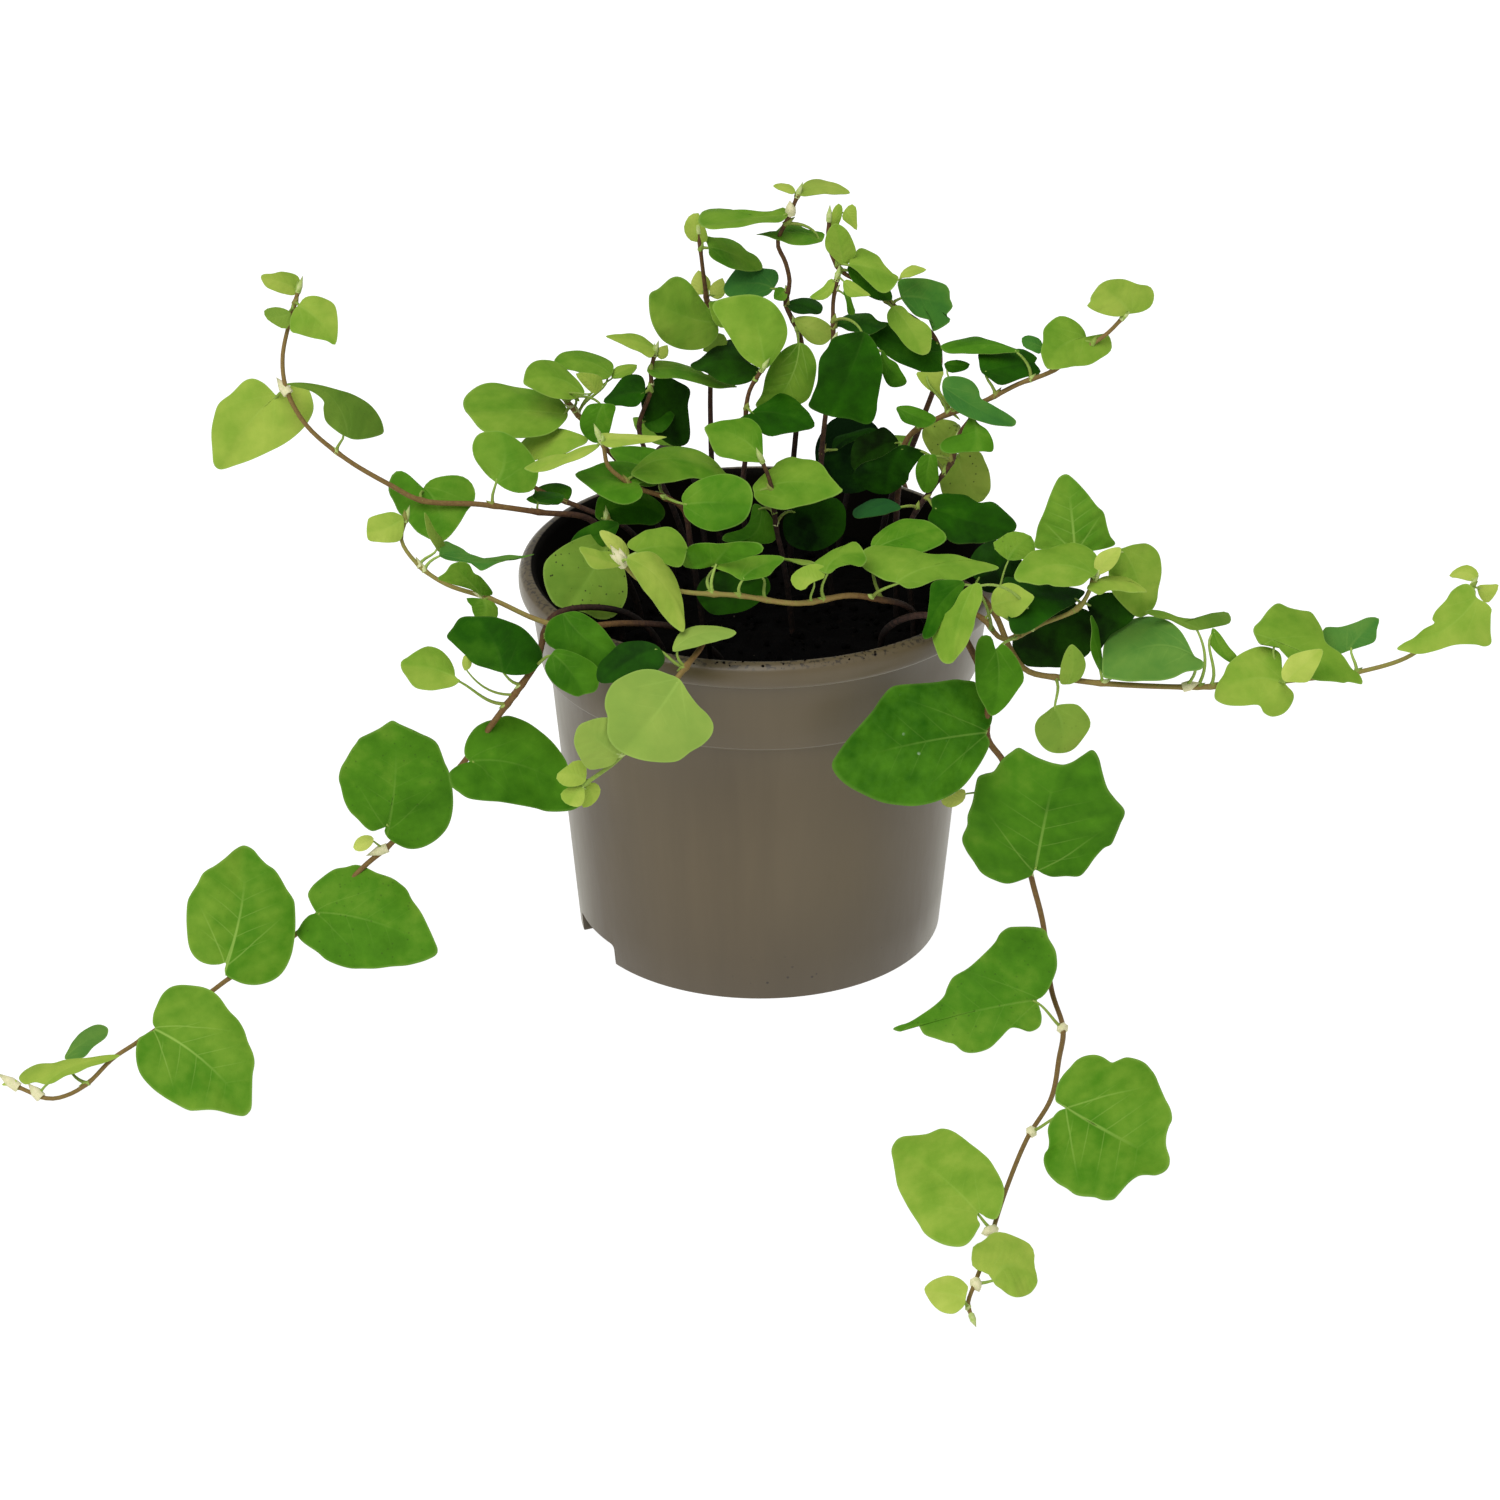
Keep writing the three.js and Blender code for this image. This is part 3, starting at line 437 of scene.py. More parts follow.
# How strongly a stalk leaves along its stem and arrives along its midrib, and over what share of its length
stalk_leaving = (0.7, 0.38)
stalk_arriving = (0.8, 0.34)
small_leaf = 9
small_leaf_scale = 0.75
sheath_width = 1.5
sheath_belly = 1.7
sheath_belly_height = 0.4
sheath_lengths = (2.2, 3.6)
large_sheath_scale = 1.8
bud_length = 4.5
bud_skin = 0.85
blade_thickness = 0.3
leaf_fold = 0.16
leaf_droop = 0.1
leaf_curl = 0.1
right_share = 0.3
hub_share = 0.34
edge_wave = 0.035
# How many waves go round the edge, and how much each count has in the whole
edge_waves = ((3, 0.5), (5, 0.4), (8, 0.22))
tone_scatter = 0.12
tint_scatter = 0.15

# One side of a blade's outline, from the notch to just before the tip, for the leaves that show least:
# along the midrib and out from it, as shares of the length and of the width
blade_forms = {
    "heart": [(-0.1, 0.14), (-0.12, 0.32), (0.03, 0.46), (0.27, 0.5), (0.52, 0.41), (0.78, 0.22)],
    "round": [(-0.06, 0.12), (-0.08, 0.3), (0.1, 0.45), (0.38, 0.5), (0.67, 0.42), (0.89, 0.24)],
    "oval": [(0, 0.12), (0.06, 0.3), (0.24, 0.46), (0.48, 0.5), (0.7, 0.38), (0.88, 0.19)],
}
# From each length on, how many sectors and rows the fan of triangles has that a blade is laid with
blade_grains = [(24, 40, 6), (17, 28, 5), (9, 16, 3), (0, 8, 2)]

# Bark at the foot and at the tip of a stem, on the scale of the skin material
# The dark bark, given to the stems deep inside the plant, is their bark with painted shade.
barks = {"dark": (0.1, 0.22), "red": (0.24, 0.4), "tan": (0.38, 0.52), "green": (0.55, 0.68)}
# A leaf's own look: towards dusty olive or bluish, then specks, wetness and how pale its veins are;
# wetness is shown by painted glints of drops and by blisters
leaf_looks = {
    "plain": (0, 0, 0, 0.1), "dusty": (-0.8, 0.15, 0, 0.08), "bluish": (0.8, 0, 0, 0.1),
    "specked": (-0.7, 1, 0, 0.12), "spotted": (0, 0.35, 0, 0.14), "veined": (0, 0.08, 0, 0.45),
    "wet": (0.2, 0, 1, 0.3), "under": (-0.6, 0, 0, 0.16),
}

# Every stem: name, root in the soil (x, y), bark, its route as points (across, rise, away), and its leaves.
# Across and rise are measured in the picture plane through the aim, and away is the point's own y.
# A leaf is: notch (across, rise, away), tip (across, rise, away), width, turn about the midrib, tone from 0,
# a pale bud, to 5, an old leaf in the shade, look, and a named form or both edges as seen (across, rise).
# The tone also holds painted shade: leaves deep in the plant or under others are given darker tones.
leafy_stems = [
    ("left_high", (-30, -4), "red", [
        (-33, 47, -5), (-40, 58, -5), (-53, 60, -7), (-68, 62, -9), (-83, 63, -9), (-91, 67, -8),
        (-102, 73.5, -6), (-112, 82, -4), (-117, 91, -2), (-118, 99, 0), (-116, 109, 3), (-114, 116, 5),
    ], [
        (-114, 116, 6, -123.4, 119.8, 3, 7, 35, 1.1, "plain", [
            [(-113.7, 118), (-114.5, 119.8), (-117.5, 120.8), (-120.5, 120.3)], [(-115, 114.9), (-117, 115),
            (-120, 115.8), (-122.5, 117.5)]]),
        (-114, 112.3, 1, -104.7, 102.3, -3, 12, 0, 1.7, "plain", [
            [(-112.5, 114.2), (-110, 114.7), (-107.3, 114), (-105, 112.6), (-104.2, 110), (-104, 106)],
            [(-115, 111.3), (-116, 109), (-116, 105.8), (-114, 105), (-110.5, 104), (-107, 103.3)]]),
        (-119.5, 89.5, 2, -133.5, 70.8, -3, 20, 0, 1.4, "plain", [
            [(-121, 91), (-123, 92.8), (-125.5, 93.8), (-128, 93), (-131, 90), (-134, 87.5), (-135.3, 84),
            (-136, 80), (-135.8, 75), (-135.3, 72)], [(-118.7, 90), (-117.5, 91.5), (-115, 92),
            (-111.8, 91.5), (-110.5, 89), (-110.2, 86), (-111.5, 83), (-114, 80), (-117.5, 77.3),
            (-122, 75), (-126, 73.2), (-130, 71.8)]]),
        (-101.8, 79, -6, -117, 92.3, -12, 11, 10, 2.6, "dusty", [
            [(-104, 80.2), (-107, 83), (-107.8, 86), (-107.7, 88), (-109.5, 89.8), (-112, 91)],
            [(-100, 78.4), (-97, 78.6), (-93, 79.7), (-92.5, 81), (-93.5, 84), (-96, 87.3), (-100, 89.7),
            (-104, 91), (-109, 92.3), (-113.5, 92.8)]]),
        (-82.6, 66.2, -3, -79, 52.2, -16, 20.5, 0, 2.9, "plain", [
            [(-84.5, 68), (-86.5, 69.5), (-88.7, 70.3), (-90.3, 69.5), (-91.2, 67.5), (-91.2, 65),
            (-90, 62.8), (-88.7, 60), (-86.5, 58), (-83.5, 54.5)], [(-81.8, 67.5), (-80, 68.7), (-77, 69.3),
            (-73.5, 69.1), (-71.3, 68.3), (-69.9, 66.8), (-69.3, 64.5), (-69.8, 62), (-71.5, 60.3),
            (-74, 56.5), (-76.5, 53.5)]]),
        (-64, 67.5, -7, -63, 80.3, 2, 16.5, 0, 2.5, "plain", [
            [(-67.5, 70.5), (-69.7, 74), (-70, 77.5), (-68, 80)], [(-61.5, 65.8), (-58, 64.8), (-54.5, 66),
            (-53.5, 71), (-57, 77)]]),
        (-54, 63, -5, -47, 65, 0, 8, 55, 4, "plain", "oval"),
        (-116, 110.3, 1, -122.6, 109.8, 0, 5.5, 0, 1.9, "dusty", [
            [(-119, 111.8), (-122.3, 111.3)], [(-117, 106.3), (-121, 108)]]),
    ]),
    ("left_middle", (-9, -34), "tan", [
        (-12, 27, -38), (-19, 31, -41), (-32, 32, -43), (-46, 31, -46), (-54, 33, -43), (-65, 38, -38),
        (-77, 42, -34), (-84, 47, -31), (-88, 53, -28), (-87, 58, -26),
    ], [
        (-87.5, 58.5, -27, -96.8, 55, -30, 8, 0, 1.2, "plain", [
            [(-88.5, 59.5), (-90.5, 60.1), (-93, 59.7), (-96, 58.7), (-96.6, 57.5)], [(-87.5, 55),
            (-88.5, 52.8), (-91, 52.3), (-94, 52.5), (-96.3, 53)]]),
        (-78.5, 50, -27, -82.2, 60, -29, 3.5, 30, 1.6, "dusty", [
            [(-80, 52), (-81.3, 54.5), (-82, 57.5)], [(-77, 51), (-77.5, 53), (-79.5, 55.5), (-81, 58.5)]]),
        (-78.5, 49.5, -30, -54.5, 49.4, -33, 17, 65, 2.8, "bluish", [
            [(-77, 52.8), (-75, 52), (-72.5, 50.7), (-71, 49.5), (-67.3, 48.3), (-64.5, 48.8), (-61, 49.4),
            (-57.5, 49)], [(-77, 48), (-74, 47.6), (-69.8, 47), (-67.7, 45.6), (-63, 47.3), (-60, 48.2),
            (-57, 48.5)]]),
        (-68, 39.2, -39, -75.5, 46.8, -44, 8, 10, 2.7, "spotted", [
            [(-70.5, 40.5), (-74, 41.5), (-77, 42.5), (-79, 43.3), (-77, 44.6)], [(-65, 39.3), (-66, 41.5),
            (-68, 43.8), (-69.8, 44.8), (-71, 47), (-73, 47.5)]]),
        (-67.5, 38.2, -40, -68.5, 32.5, -44, 9, 20, 2.7, "plain", [
            [(-71.8, 38.3), (-70.5, 36.5), (-69.8, 34.5)], [(-65.5, 37.5), (-63.7, 36.3), (-63.8, 33.2),
            (-66, 32.5)]]),
    ]),
    ("left_trailing", (-24, -26), "red", [
        (-30, 34, -28), (-42, 36, -31), (-50, 33.5, -35), (-54, 22, -46), (-58, 16, -49), (-64, 8, -48),
        (-73, -4, -44), (-84, -16, -38), (-91, -24, -36), (-97, -29, -37), (-114, -46, -46),
        (-132, -58, -58), (-136, -61, -62), (-155, -74, -90), (-161, -78, -94), (-167, -84, -96),
        (-172, -87, -99), (-177, -88, -101), (-185, -85, -98),
    ], [
        (-62.6, 19.6, -51, -69.5, 33.8, -53, 19, 0, 3.9, "plain", [
            [(-66, 20.3), (-70, 22), (-72, 24), (-75, 27), (-76.6, 28.8), (-75, 31), (-73, 33)],
            [(-60, 19.1), (-56, 19.5), (-53.5, 21), (-52.3, 22.8), (-52.6, 25), (-54.5, 28), (-57, 30.5),
            (-60, 32.2), (-65, 33.8)]]),
        (-73.2, 17.4, -52, -88.1, 22.3, -50, 13, 35, 1.7, "plain", [
            [(-74.4, 18.3), (-74.6, 20.5), (-76, 23.3), (-78.5, 25.3), (-81.3, 26.2), (-84, 25),
            (-86.5, 23.5)], [(-74.5, 16.3), (-77, 15.6), (-80.5, 15.1), (-84, 15.6), (-86, 17.2),
            (-87.7, 19.8)]]),
        (-72, 20, -53, -71.8, 24, -53, 2.5, 20, 0.8, "plain", [
            [(-72.7, 21.5), (-72.5, 23)], [(-71.5, 20.2), (-70.5, 21), (-70.3, 22.5)]]),
        (-70.8, -2.8, -52, -42, -13, -54, 23, 12, 3.2, "plain", [
            [(-71.9, -1.5), (-72.1, 0.5), (-71.3, 3), (-69.5, 5.5), (-67, 7), (-64, 7.8), (-61.5, 8.7),
            (-59, 8.3), (-56, 7), (-53, 4.8), (-50, 2.2), (-47.8, -0.5), (-46.3, -3), (-45.5, -6),
            (-44, -10)], [(-72.5, -3.3), (-74.5, -4.3), (-76, -6), (-75.5, -9), (-73.5, -10.7),
            (-71, -12.2), (-67, -12.9), (-63, -13.2), (-58, -14), (-54, -14.7), (-51, -15.4), (-46, -15.4),
            (-43.5, -14.6)]]),
        (-91.7, -19.8, -43, -90.5, 7.8, -50, 28.5, 0, 3, "spotted", [
            [(-93.5, -20.1), (-95.3, -20.3), (-97, -19.2), (-99, -17), (-101, -15), (-102.5, -12.5),
            (-103.3, -10), (-103.9, -7.5), (-103.3, -4.5), (-102, -2.3), (-100.7, -0.2), (-99.5, 1.5),
            (-98.5, 3), (-96.5, 4.2), (-93.5, 5.8)], [(-92.4, -21), (-91.5, -22.8), (-89, -24.2),
            (-86, -24.9), (-82.5, -24.3), (-79.3, -22.7), (-77, -20.5), (-75.7, -18), (-75, -15),
            (-74.9, -12), (-75.3, -8), (-76, -5.2), (-77, -3.3), (-78, -1), (-79, 0.9), (-80.5, 2.2),
            (-83, 3.6), (-85.5, 5.3), (-88.5, 7)]]),
        (-95, -22.3, -37, -100.2, -24.6, -38, 3.5, 0, 0.2, "plain", [
            [(-95.8, -21.6), (-97.5, -21.5), (-99.3, -22.5)], [(-95.3, -23.7), (-97, -25.3),
            (-99, -25.6)]]),
        (-109.6, -41, -44, -78.7, -50.5, -56, 26, 15, 3, "spotted", [
            [(-110.2, -40), (-111.2, -38), (-111.6, -36.3), (-110.5, -34.3), (-108.5, -32.5), (-105, -30.2),
            (-102, -29.6), (-99.5, -29), (-97, -29.7), (-94, -31.2), (-90.5, -32.3), (-88.5, -33.5),
            (-86.8, -35), (-85.5, -37.5), (-83, -41), (-81, -45), (-79.5, -48.3)], [(-110.2, -41.2),
            (-111.5, -41.6), (-113, -43), (-114, -44.8), (-114.6, -46), (-113.7, -47.7), (-112, -49.3),
            (-109, -51.3), (-107, -53), (-104, -54.3), (-101, -55), (-98, -55), (-94, -55.1), (-90, -54.7),
            (-87, -54.4), (-84, -53.7), (-81.5, -53), (-79.3, -52)]]),
        (-132.3, -53.8, -56, -127.8, -24, -40, 27.5, 0, 2.8, "veined", [
            [(-134, -54.2), (-136.5, -54.2), (-139, -53.3), (-140.8, -51.5), (-141.8, -49), (-142.2, -45),
            (-142.3, -41), (-142, -38), (-141, -36), (-139.5, -33.8), (-138.3, -31.5), (-137, -30.3),
            (-135, -29.2), (-132.5, -27.3), (-130, -25)], [(-132.6, -55.5), (-132.2, -57), (-130.5, -58),
            (-128, -59), (-125, -59.3), (-122, -58.7), (-119.5, -57.5), (-117.5, -55.5), (-115.8, -52),
            (-115, -48), (-114.7, -44), (-114.9, -39), (-115.5, -37.2), (-117, -35), (-118.5, -32.3),
            (-120, -30.2), (-122, -28.8), (-123.8, -27), (-125.5, -25)]]),
        (-150.2, -70.6, -90, -126.5, -91.5, -108, 27, 12, 2.7, "veined", [
            [(-150.8, -69), (-150.7, -66.5), (-149.8, -64), (-148.5, -61.5), (-146.5, -59.8), (-144, -59.2),
            (-141, -59.4), (-138, -60), (-135.5, -61.2), (-133.5, -63), (-131.5, -65.8), (-129.3, -68),
            (-127.8, -70.5), (-126.8, -73.5), (-125.5, -76.5), (-125.1, -79), (-125.6, -82), (-125.7, -86),
            (-125.8, -90)], [(-152.5, -71.8), (-154.5, -73.5), (-155.1, -76), (-154.7, -79.5),
            (-153.5, -82.5), (-151, -85.3), (-148, -87.5), (-145, -89.2), (-142, -90.7), (-140, -91),
            (-135, -91.2), (-131, -92), (-128, -92.4)]]),
        (-173, -78, -88, -162, -70.5, -80, 8, 40, 2.3, "bluish", [
            [(-171.8, -75), (-170, -72.3), (-168, -70.8), (-165.5, -69.5), (-163.5, -69.3)], [(-170, -78),
            (-168, -77.3), (-165.5, -74.8), (-162.8, -72.8)]]),
        (-178, -84.3, -100, -159, -77.2, -97, 10, 45, 1.5, "plain", [
            [(-180.5, -83.8), (-183, -84.5), (-184.5, -83), (-183, -80.8), (-180, -79.3), (-176, -79),
            (-173, -78.2), (-168, -77.7), (-163, -77.2)], [(-176, -84), (-173, -82.5), (-170, -81.5),
            (-166, -79.8), (-162, -78.5)]]),
        (-185, -83.5, -98, -188.9, -84.6, -98, 1.5, 20, 0.6, "plain", [
            [(-186.8, -83.2)], [(-186.5, -84.6)]]),
        (-47, 34.5, -46, -33.4, 23.7, -54, 11.5, 0, 3.6, "plain", [
            [(-43, 34.8), (-38, 31.6), (-34, 26.5)], [(-51, 32.3), (-51.8, 27.8), (-49, 25.3), (-44, 24),
            (-38, 20.7)]]),
        (-50, 24.5, -54, -42, 14, -60, 10.5, 0, 3.3, "plain", [
            [(-48, 25.5), (-43, 24), (-38.4, 20.7), (-38.6, 15.2)], [(-51.8, 20.7), (-49.2, 16.4),
            (-44.2, 13.6)]]),
    ]),
    ("front_hanging", (-12, -38), "green", [
        (-11, 28, -53), (-13, 25, -61), (-17, 20, -67), (-22, 13, -71), (-28, 5, -72), (-33, -2, -71),
        (-38, -6, -70), (-44, -10, -69),
    ], [
        (-19.5, 25, -66, -3.4, 29.5, -64, 8, 40, 1.8, "under", [
            [(-18.5, 28.5), (-16, 30.5), (-13, 31.4), (-8, 31.2), (-5, 30.6)], [(-16, 25.4), (-12, 26.5),
            (-8, 27.7), (-5, 28.3)]]),
        (-17.8, 17.8, -73, -32, -0.8, -77, 26, 0, 2, "under", [
            [(-21, 19.2), (-24, 20.2), (-27.5, 20.3), (-31, 19.2), (-34.5, 17), (-36.3, 14), (-36.7, 11),
            (-36, 8.3), (-36, 4), (-34.5, 1)], [(-15.5, 14.5), (-13, 11.2), (-10.5, 8.7), (-9.2, 6.3),
            (-9.7, 3.8), (-12, 1.3), (-15, -0.5), (-18, -2.7), (-21, -3.2), (-25, -2.8), (-29, -1.9)]]),
        (-33, -1.5, -72, -42.5, 6.7, -75, 13, 0, 1.7, "under", [
            [(-35, -3.8), (-38, -4.8), (-41, -4.7), (-43.3, -1.5), (-44.3, 2), (-43.8, 5)], [(-31.5, 1),
            (-31, 4.5), (-33.5, 7), (-36, 8.3), (-39.5, 7.8)]]),
        (-41.5, -7.8, -70, -48.6, -6, -71, 7, 0, 1.2, "plain", [
            [(-43, -9), (-46.5, -9.2), (-48.6, -7.7)], [(-41.3, -5.5), (-41.6, -3), (-44, -2.6),
            (-46.2, -4)]]),
        (-42, -9.3, -70, -45.5, -14, -72, 5.5, 0, 1.2, "plain", [
            [(-44, -9.3), (-46.2, -9.6), (-47.8, -11), (-47.3, -12.8)], [(-41.8, -12.5), (-43, -14.3)]]),
        (-41.5, -9, -68, -40, -13.9, -68, 5.5, 0, 1.1, "plain", [
            [(-39.5, -8.2), (-37.9, -9.3), (-38, -11.5)], [(-42.2, -12), (-42.5, -14.3)]]),
        (-23, 26, -63, -38.3, 17.3, -66, 10.5, 20, 4.4, "plain", [
            [(-27, 27.5), (-32, 27), (-35.5, 24.5), (-38.3, 21.5)], [(-21.5, 22.5), (-24, 19.5), (-29, 18),
            (-34.5, 17)]]),
    ]),
    ("front_across", (42, -22), "tan", [
        (45, 28, -24), (40, 36, -34), (33, 38, -42), (25, 39, -46), (12, 37, -50), (-3, 39, -51),
        (-17, 40, -51), (-28, 43, -51), (-32, 47, -51),
    ], [
        (-32.5, 46.5, -52, -43, 51.2, -55, 7.5, 50, 1.3, "plain", [
            [(-33, 48.5), (-35.5, 50), (-38, 50.3), (-41, 51)], [(-36, 45.8), (-39.5, 45.8), (-41.5, 48)]]),
        (-31.5, 47.5, -49, -38, 55.2, -48, 4.5, 30, 0.4, "plain", [
            [(-34.5, 50), (-36.8, 52.5)], [(-30.5, 49), (-31, 51.3), (-33, 53.7), (-36, 55.2)]]),
        (-31, 48.5, -56, -17, 29.7, -65, 12.5, 40, 1.2, "plain", [
            [(-29.5, 44.5), (-26.5, 40), (-23, 35.5), (-20, 32)], [(-26, 50), (-22, 48), (-19, 44),
            (-17.3, 39), (-16.6, 34)]]),
        (-29, 50, -49, -16, 52, -43, 12.5, 35, 2.1, "plain", [
            [(-31, 52), (-28, 54.5), (-25, 55.8), (-20, 56)], [(-18.5, 46), (-16, 50)]]),
        (-9.5, 46.2, -39, 16.3, 47.2, -38, 5.5, 50, 1.9, "dusty", [
            [(-12.5, 48), (-12, 50), (-9, 51), (-4, 50.1), (0, 50.6), (5, 51.5), (10, 52.1), (12.5, 50),
            (14.3, 48.5)], [(-8.2, 46.8), (-6, 47.2), (-2, 48.7), (3, 49), (8.5, 48.7), (10, 48),
            (13, 46.7)]]),
        (-2.5, 43, -53, 8.7, 48.5, -50, 8.5, 20, 2.6, "plain", [
            [(-5, 44.5), (-9, 46.2), (-5, 48), (0, 49), (4, 49.2)], [(1, 43), (4.5, 44), (6.5, 46)]]),
        (-9, 46.5, -49, -3, 52.7, -57, 13, 0, 3, "plain", [
            [(-13, 46), (-17, 46.6), (-16.5, 50), (-14, 52), (-8, 52.2)], [(-3, 48), (3, 50), (2, 52)]]),
        (19, 44.6, -51, 28.5, 50.5, -45, 9.5, 40, 2.4, "plain", [
            [(16, 46), (17, 48), (20, 50), (24, 51.7), (26.5, 52.5)], [(20.5, 44.9), (22, 46), (25, 46.9),
            (28, 46.2), (29.5, 48)]]),
        (37, 42.2, -48, 62.8, 46.2, -43, 20, 45, 2.3, "plain", [
            [(34, 42.9), (31, 44.6), (28.5, 46.5), (27.5, 49), (30, 50.9), (34, 51.8), (40, 51), (45, 49.7),
            (51, 49.5), (56, 48), (60, 47.3)], [(39.5, 40.8), (42, 41), (45, 42), (49, 43.2), (53, 42.9),
            (57, 44.1), (61, 45)]]),
        (31, 50.5, -33, 46.5, 57, -29, 13, 45, 2.9, "spotted", [
            [(31, 53), (33, 55.5), (36, 57.2), (39, 58.2), (43, 58.1)], [(36, 49.5), (42, 49.8), (47, 51),
            (49.5, 53), (49, 55)]]),
        (17, 42.8, -52, 10.5, 44, -52, 7.5, 20, 1.4, "plain", [
            [(15, 41.8), (13.5, 40.3), (11.5, 40.9), (10.3, 42.6)], [(19, 43.8), (19, 46), (17, 47),
            (14.5, 46.7), (12, 45.5)]]),
        (4, 44, -44, -12.5, 37, -44, 11, 0, 4.6, "plain", [
            [(5, 40.5), (2.5, 37.5), (-1, 35.3), (-5, 34.4), (-9.5, 34.3)], [(-1, 46), (-7, 45.3),
            (-11.5, 43.5), (-13.5, 40)]]),
    ]),
    ("left_inner", (-34, -16), "dark", [
        (-35, 50, -16), (-36, 58, -15),
    ], [
        (-35.5, 53, -16, -46.5, 35.5, -30, 21.5, 0, 2.5, "specked", [
            [(-40, 54.5), (-46, 52), (-51, 48.5), (-52.2, 45), (-51.5, 41), (-49.5, 37)], [(-32.5, 48),
            (-31.2, 43), (-31.3, 38), (-34, 34), (-38, 33.2), (-42, 34.5)]]),
        (-38.5, 58.5, -14, -21.5, 59.5, -9, 10, 20, 3.8, "plain", [
            [(-39, 61), (-38, 64), (-34, 65.8), (-28, 65.6), (-23.5, 63)], [(-34, 57), (-29, 57),
            (-24, 57)]]),
        (-33, 57, -17, -45, 52, -16, 6, 0, 4, "plain", [
            [(-37, 58), (-41, 56.5), (-44, 54.5)], [(-36, 52), (-41, 50.5)]]),
    ]),
    ("left_low", (-26, 10), "red", [
        (-30, 55, 8), (-42, 61, 9), (-50, 64, 11), (-57, 68, 12), (-60, 71, 12),
    ], [
        (-60, 70.5, 12, -66, 77.5, 10, 4, 20, 0.3, "plain", [
            [(-63, 72.5), (-65, 75.5)], [(-59.5, 74), (-62.5, 76.5)]]),
        (-57, 72, 9, -41, 78.5, 5, 11, 35, 1.8, "plain", [
            [(-59, 75.5), (-57, 78.5), (-54, 80.5), (-50, 81.3), (-45, 80.5)], [(-55, 73), (-50, 74),
            (-44, 76)]]),
        (-46, 63, 10, -56.5, 63.3, 14, 7, 30, 3.6, "plain", [
            [(-45, 66), (-49, 67.5), (-54, 66), (-54.5, 64.5)], [(-50, 62), (-53.5, 62)]]),
    ]),
    ("left_bushy", (-22, 20), "red", [
        (-28, 66, 20), (-38, 78, 20), (-43, 84, 19), (-47, 89, 18),
    ], [
        (-46, 84.5, 17, -72.4, 87.5, 15, 22, 50, 2.1, "plain", [
            [(-48, 88.5), (-53, 90.5), (-60, 92), (-67, 92.2), (-71, 90.3)], [(-48, 81.5), (-53, 79.5),
            (-60, 78.8), (-66.5, 80), (-70.3, 83.5)]]),
        (-35, 94.5, 27, -49.5, 98, 25, 10.5, 45, 2.3, "plain", [
            [(-35, 98), (-39, 100), (-43, 100.8), (-47, 100.4)], [(-38, 93.5), (-42, 95), (-46, 96)]]),
        (-42, 89.5, 16, -57, 94, 13, 13.5, 40, 2.2, "plain", [
            [(-43, 92.5), (-46, 96), (-50, 98.3), (-54, 98.2), (-56.3, 96.5)], [(-46, 88.5), (-50, 89),
            (-53, 90), (-56.5, 92)]]),
        (-43, 88, 22, -55, 97, 25, 4, 20, 1.2, "plain", [
            [(-45, 91.5), (-48, 95), (-50, 95)], [(-46, 89.5), (-50.5, 93.5)]]),
        (-39, 90, 6, -44, 95, 4, 4.5, 0, 1.1, "plain", [
            [(-37, 92.5), (-38, 94.5), (-41, 95.2)], [(-41.5, 91.5)]]),
        (-35, 94, 28, -28.5, 97.2, 27, 4.5, 40, 2, "plain", [
            [(-33.5, 96.8)], [(-33, 93.8), (-30, 94.8)]]),
        (-37, 87.5, 7, -39, 77.5, 4, 8, 0, 3.2, "plain", [
            [(-41, 87), (-43, 83), (-42, 79.5)], [(-34, 87), (-34.5, 84), (-36, 79)]]),
    ]),
    ("middle_left", (-14, -16), "red", [
        (-15, 52, -17), (-17, 61, -18), (-22, 64, -19), (-28, 66, -21), (-33, 69, -22), (-36, 72, -22),
        (-37, 77, -22), (-38, 79, -22),
    ], [
        (-38, 78, -22, -21, 78.9, -24, 7, 58, 0.9, "plain", [
            [(-38, 79.8), (-33, 79.9), (-27, 79.5)], [(-36, 76.5), (-33, 76.6), (-27, 77.5)]]),
        (-38, 77, -22, -57, 71, -26, 8, 58, 1.1, "plain", [
            [(-42, 76.5), (-47, 74.8), (-52, 73.8)], [(-41, 74.5), (-46, 72.5), (-52, 70.3)]]),
        (-30, 69.5, -20, -4.5, 68.3, -17, 19.5, 48, 2.7, "plain", [
            [(-27.5, 73), (-23, 76), (-18.5, 76.8), (-13.5, 75.5), (-9, 73.3), (-6.5, 70.5)], [(-26, 67.3),
            (-20, 67.8), (-14, 68.6), (-9, 67.8)]]),
        (-28, 67, -22, -44, 71, -18, 18, 52, 3.2, "plain", "heart"),
        (-23, 70, -8, -35, 77, -3, 14, 45, 3.2, "plain", "heart"),
        (-17, 62, -29, 0.6, 62, -34, 14.5, 10, 3, "plain", [
            [(-17, 64.5), (-12.6, 68.2), (-6.5, 69.8), (-1.5, 68.3), (0.6, 65.3)], [(-16.2, 58.8),
            (-12.5, 56), (-7.5, 55.3), (-1.5, 58)]]),
    ]),
    ("left_upright", (-16, 12), "dark", [
        (-19, 60, 14), (-27, 77, 17), (-28, 82, 18), (-25, 91, 19), (-25, 96, 20), (-24, 100, 20),
    ], [
        (-24, 101, 20, -36.4, 104.5, 18, 7.5, 45, 1.4, "plain", [
            [(-25, 103), (-29, 105), (-33, 105)], [(-25, 99), (-28, 100.5), (-33, 102.7)]]),
        (-26, 96, 19, -3.2, 91.6, 16, 13, 58, 2.6, "plain", [
            [(-24, 98.2), (-20, 97.9), (-15, 97), (-11, 94.7), (-7, 92.6)], [(-24, 94), (-19, 93.8),
            (-13, 92.6), (-7, 91.3)]]),
        (-23, 99, 20, -21, 102, 19, 3, 0, 0.6, "plain", "oval"),
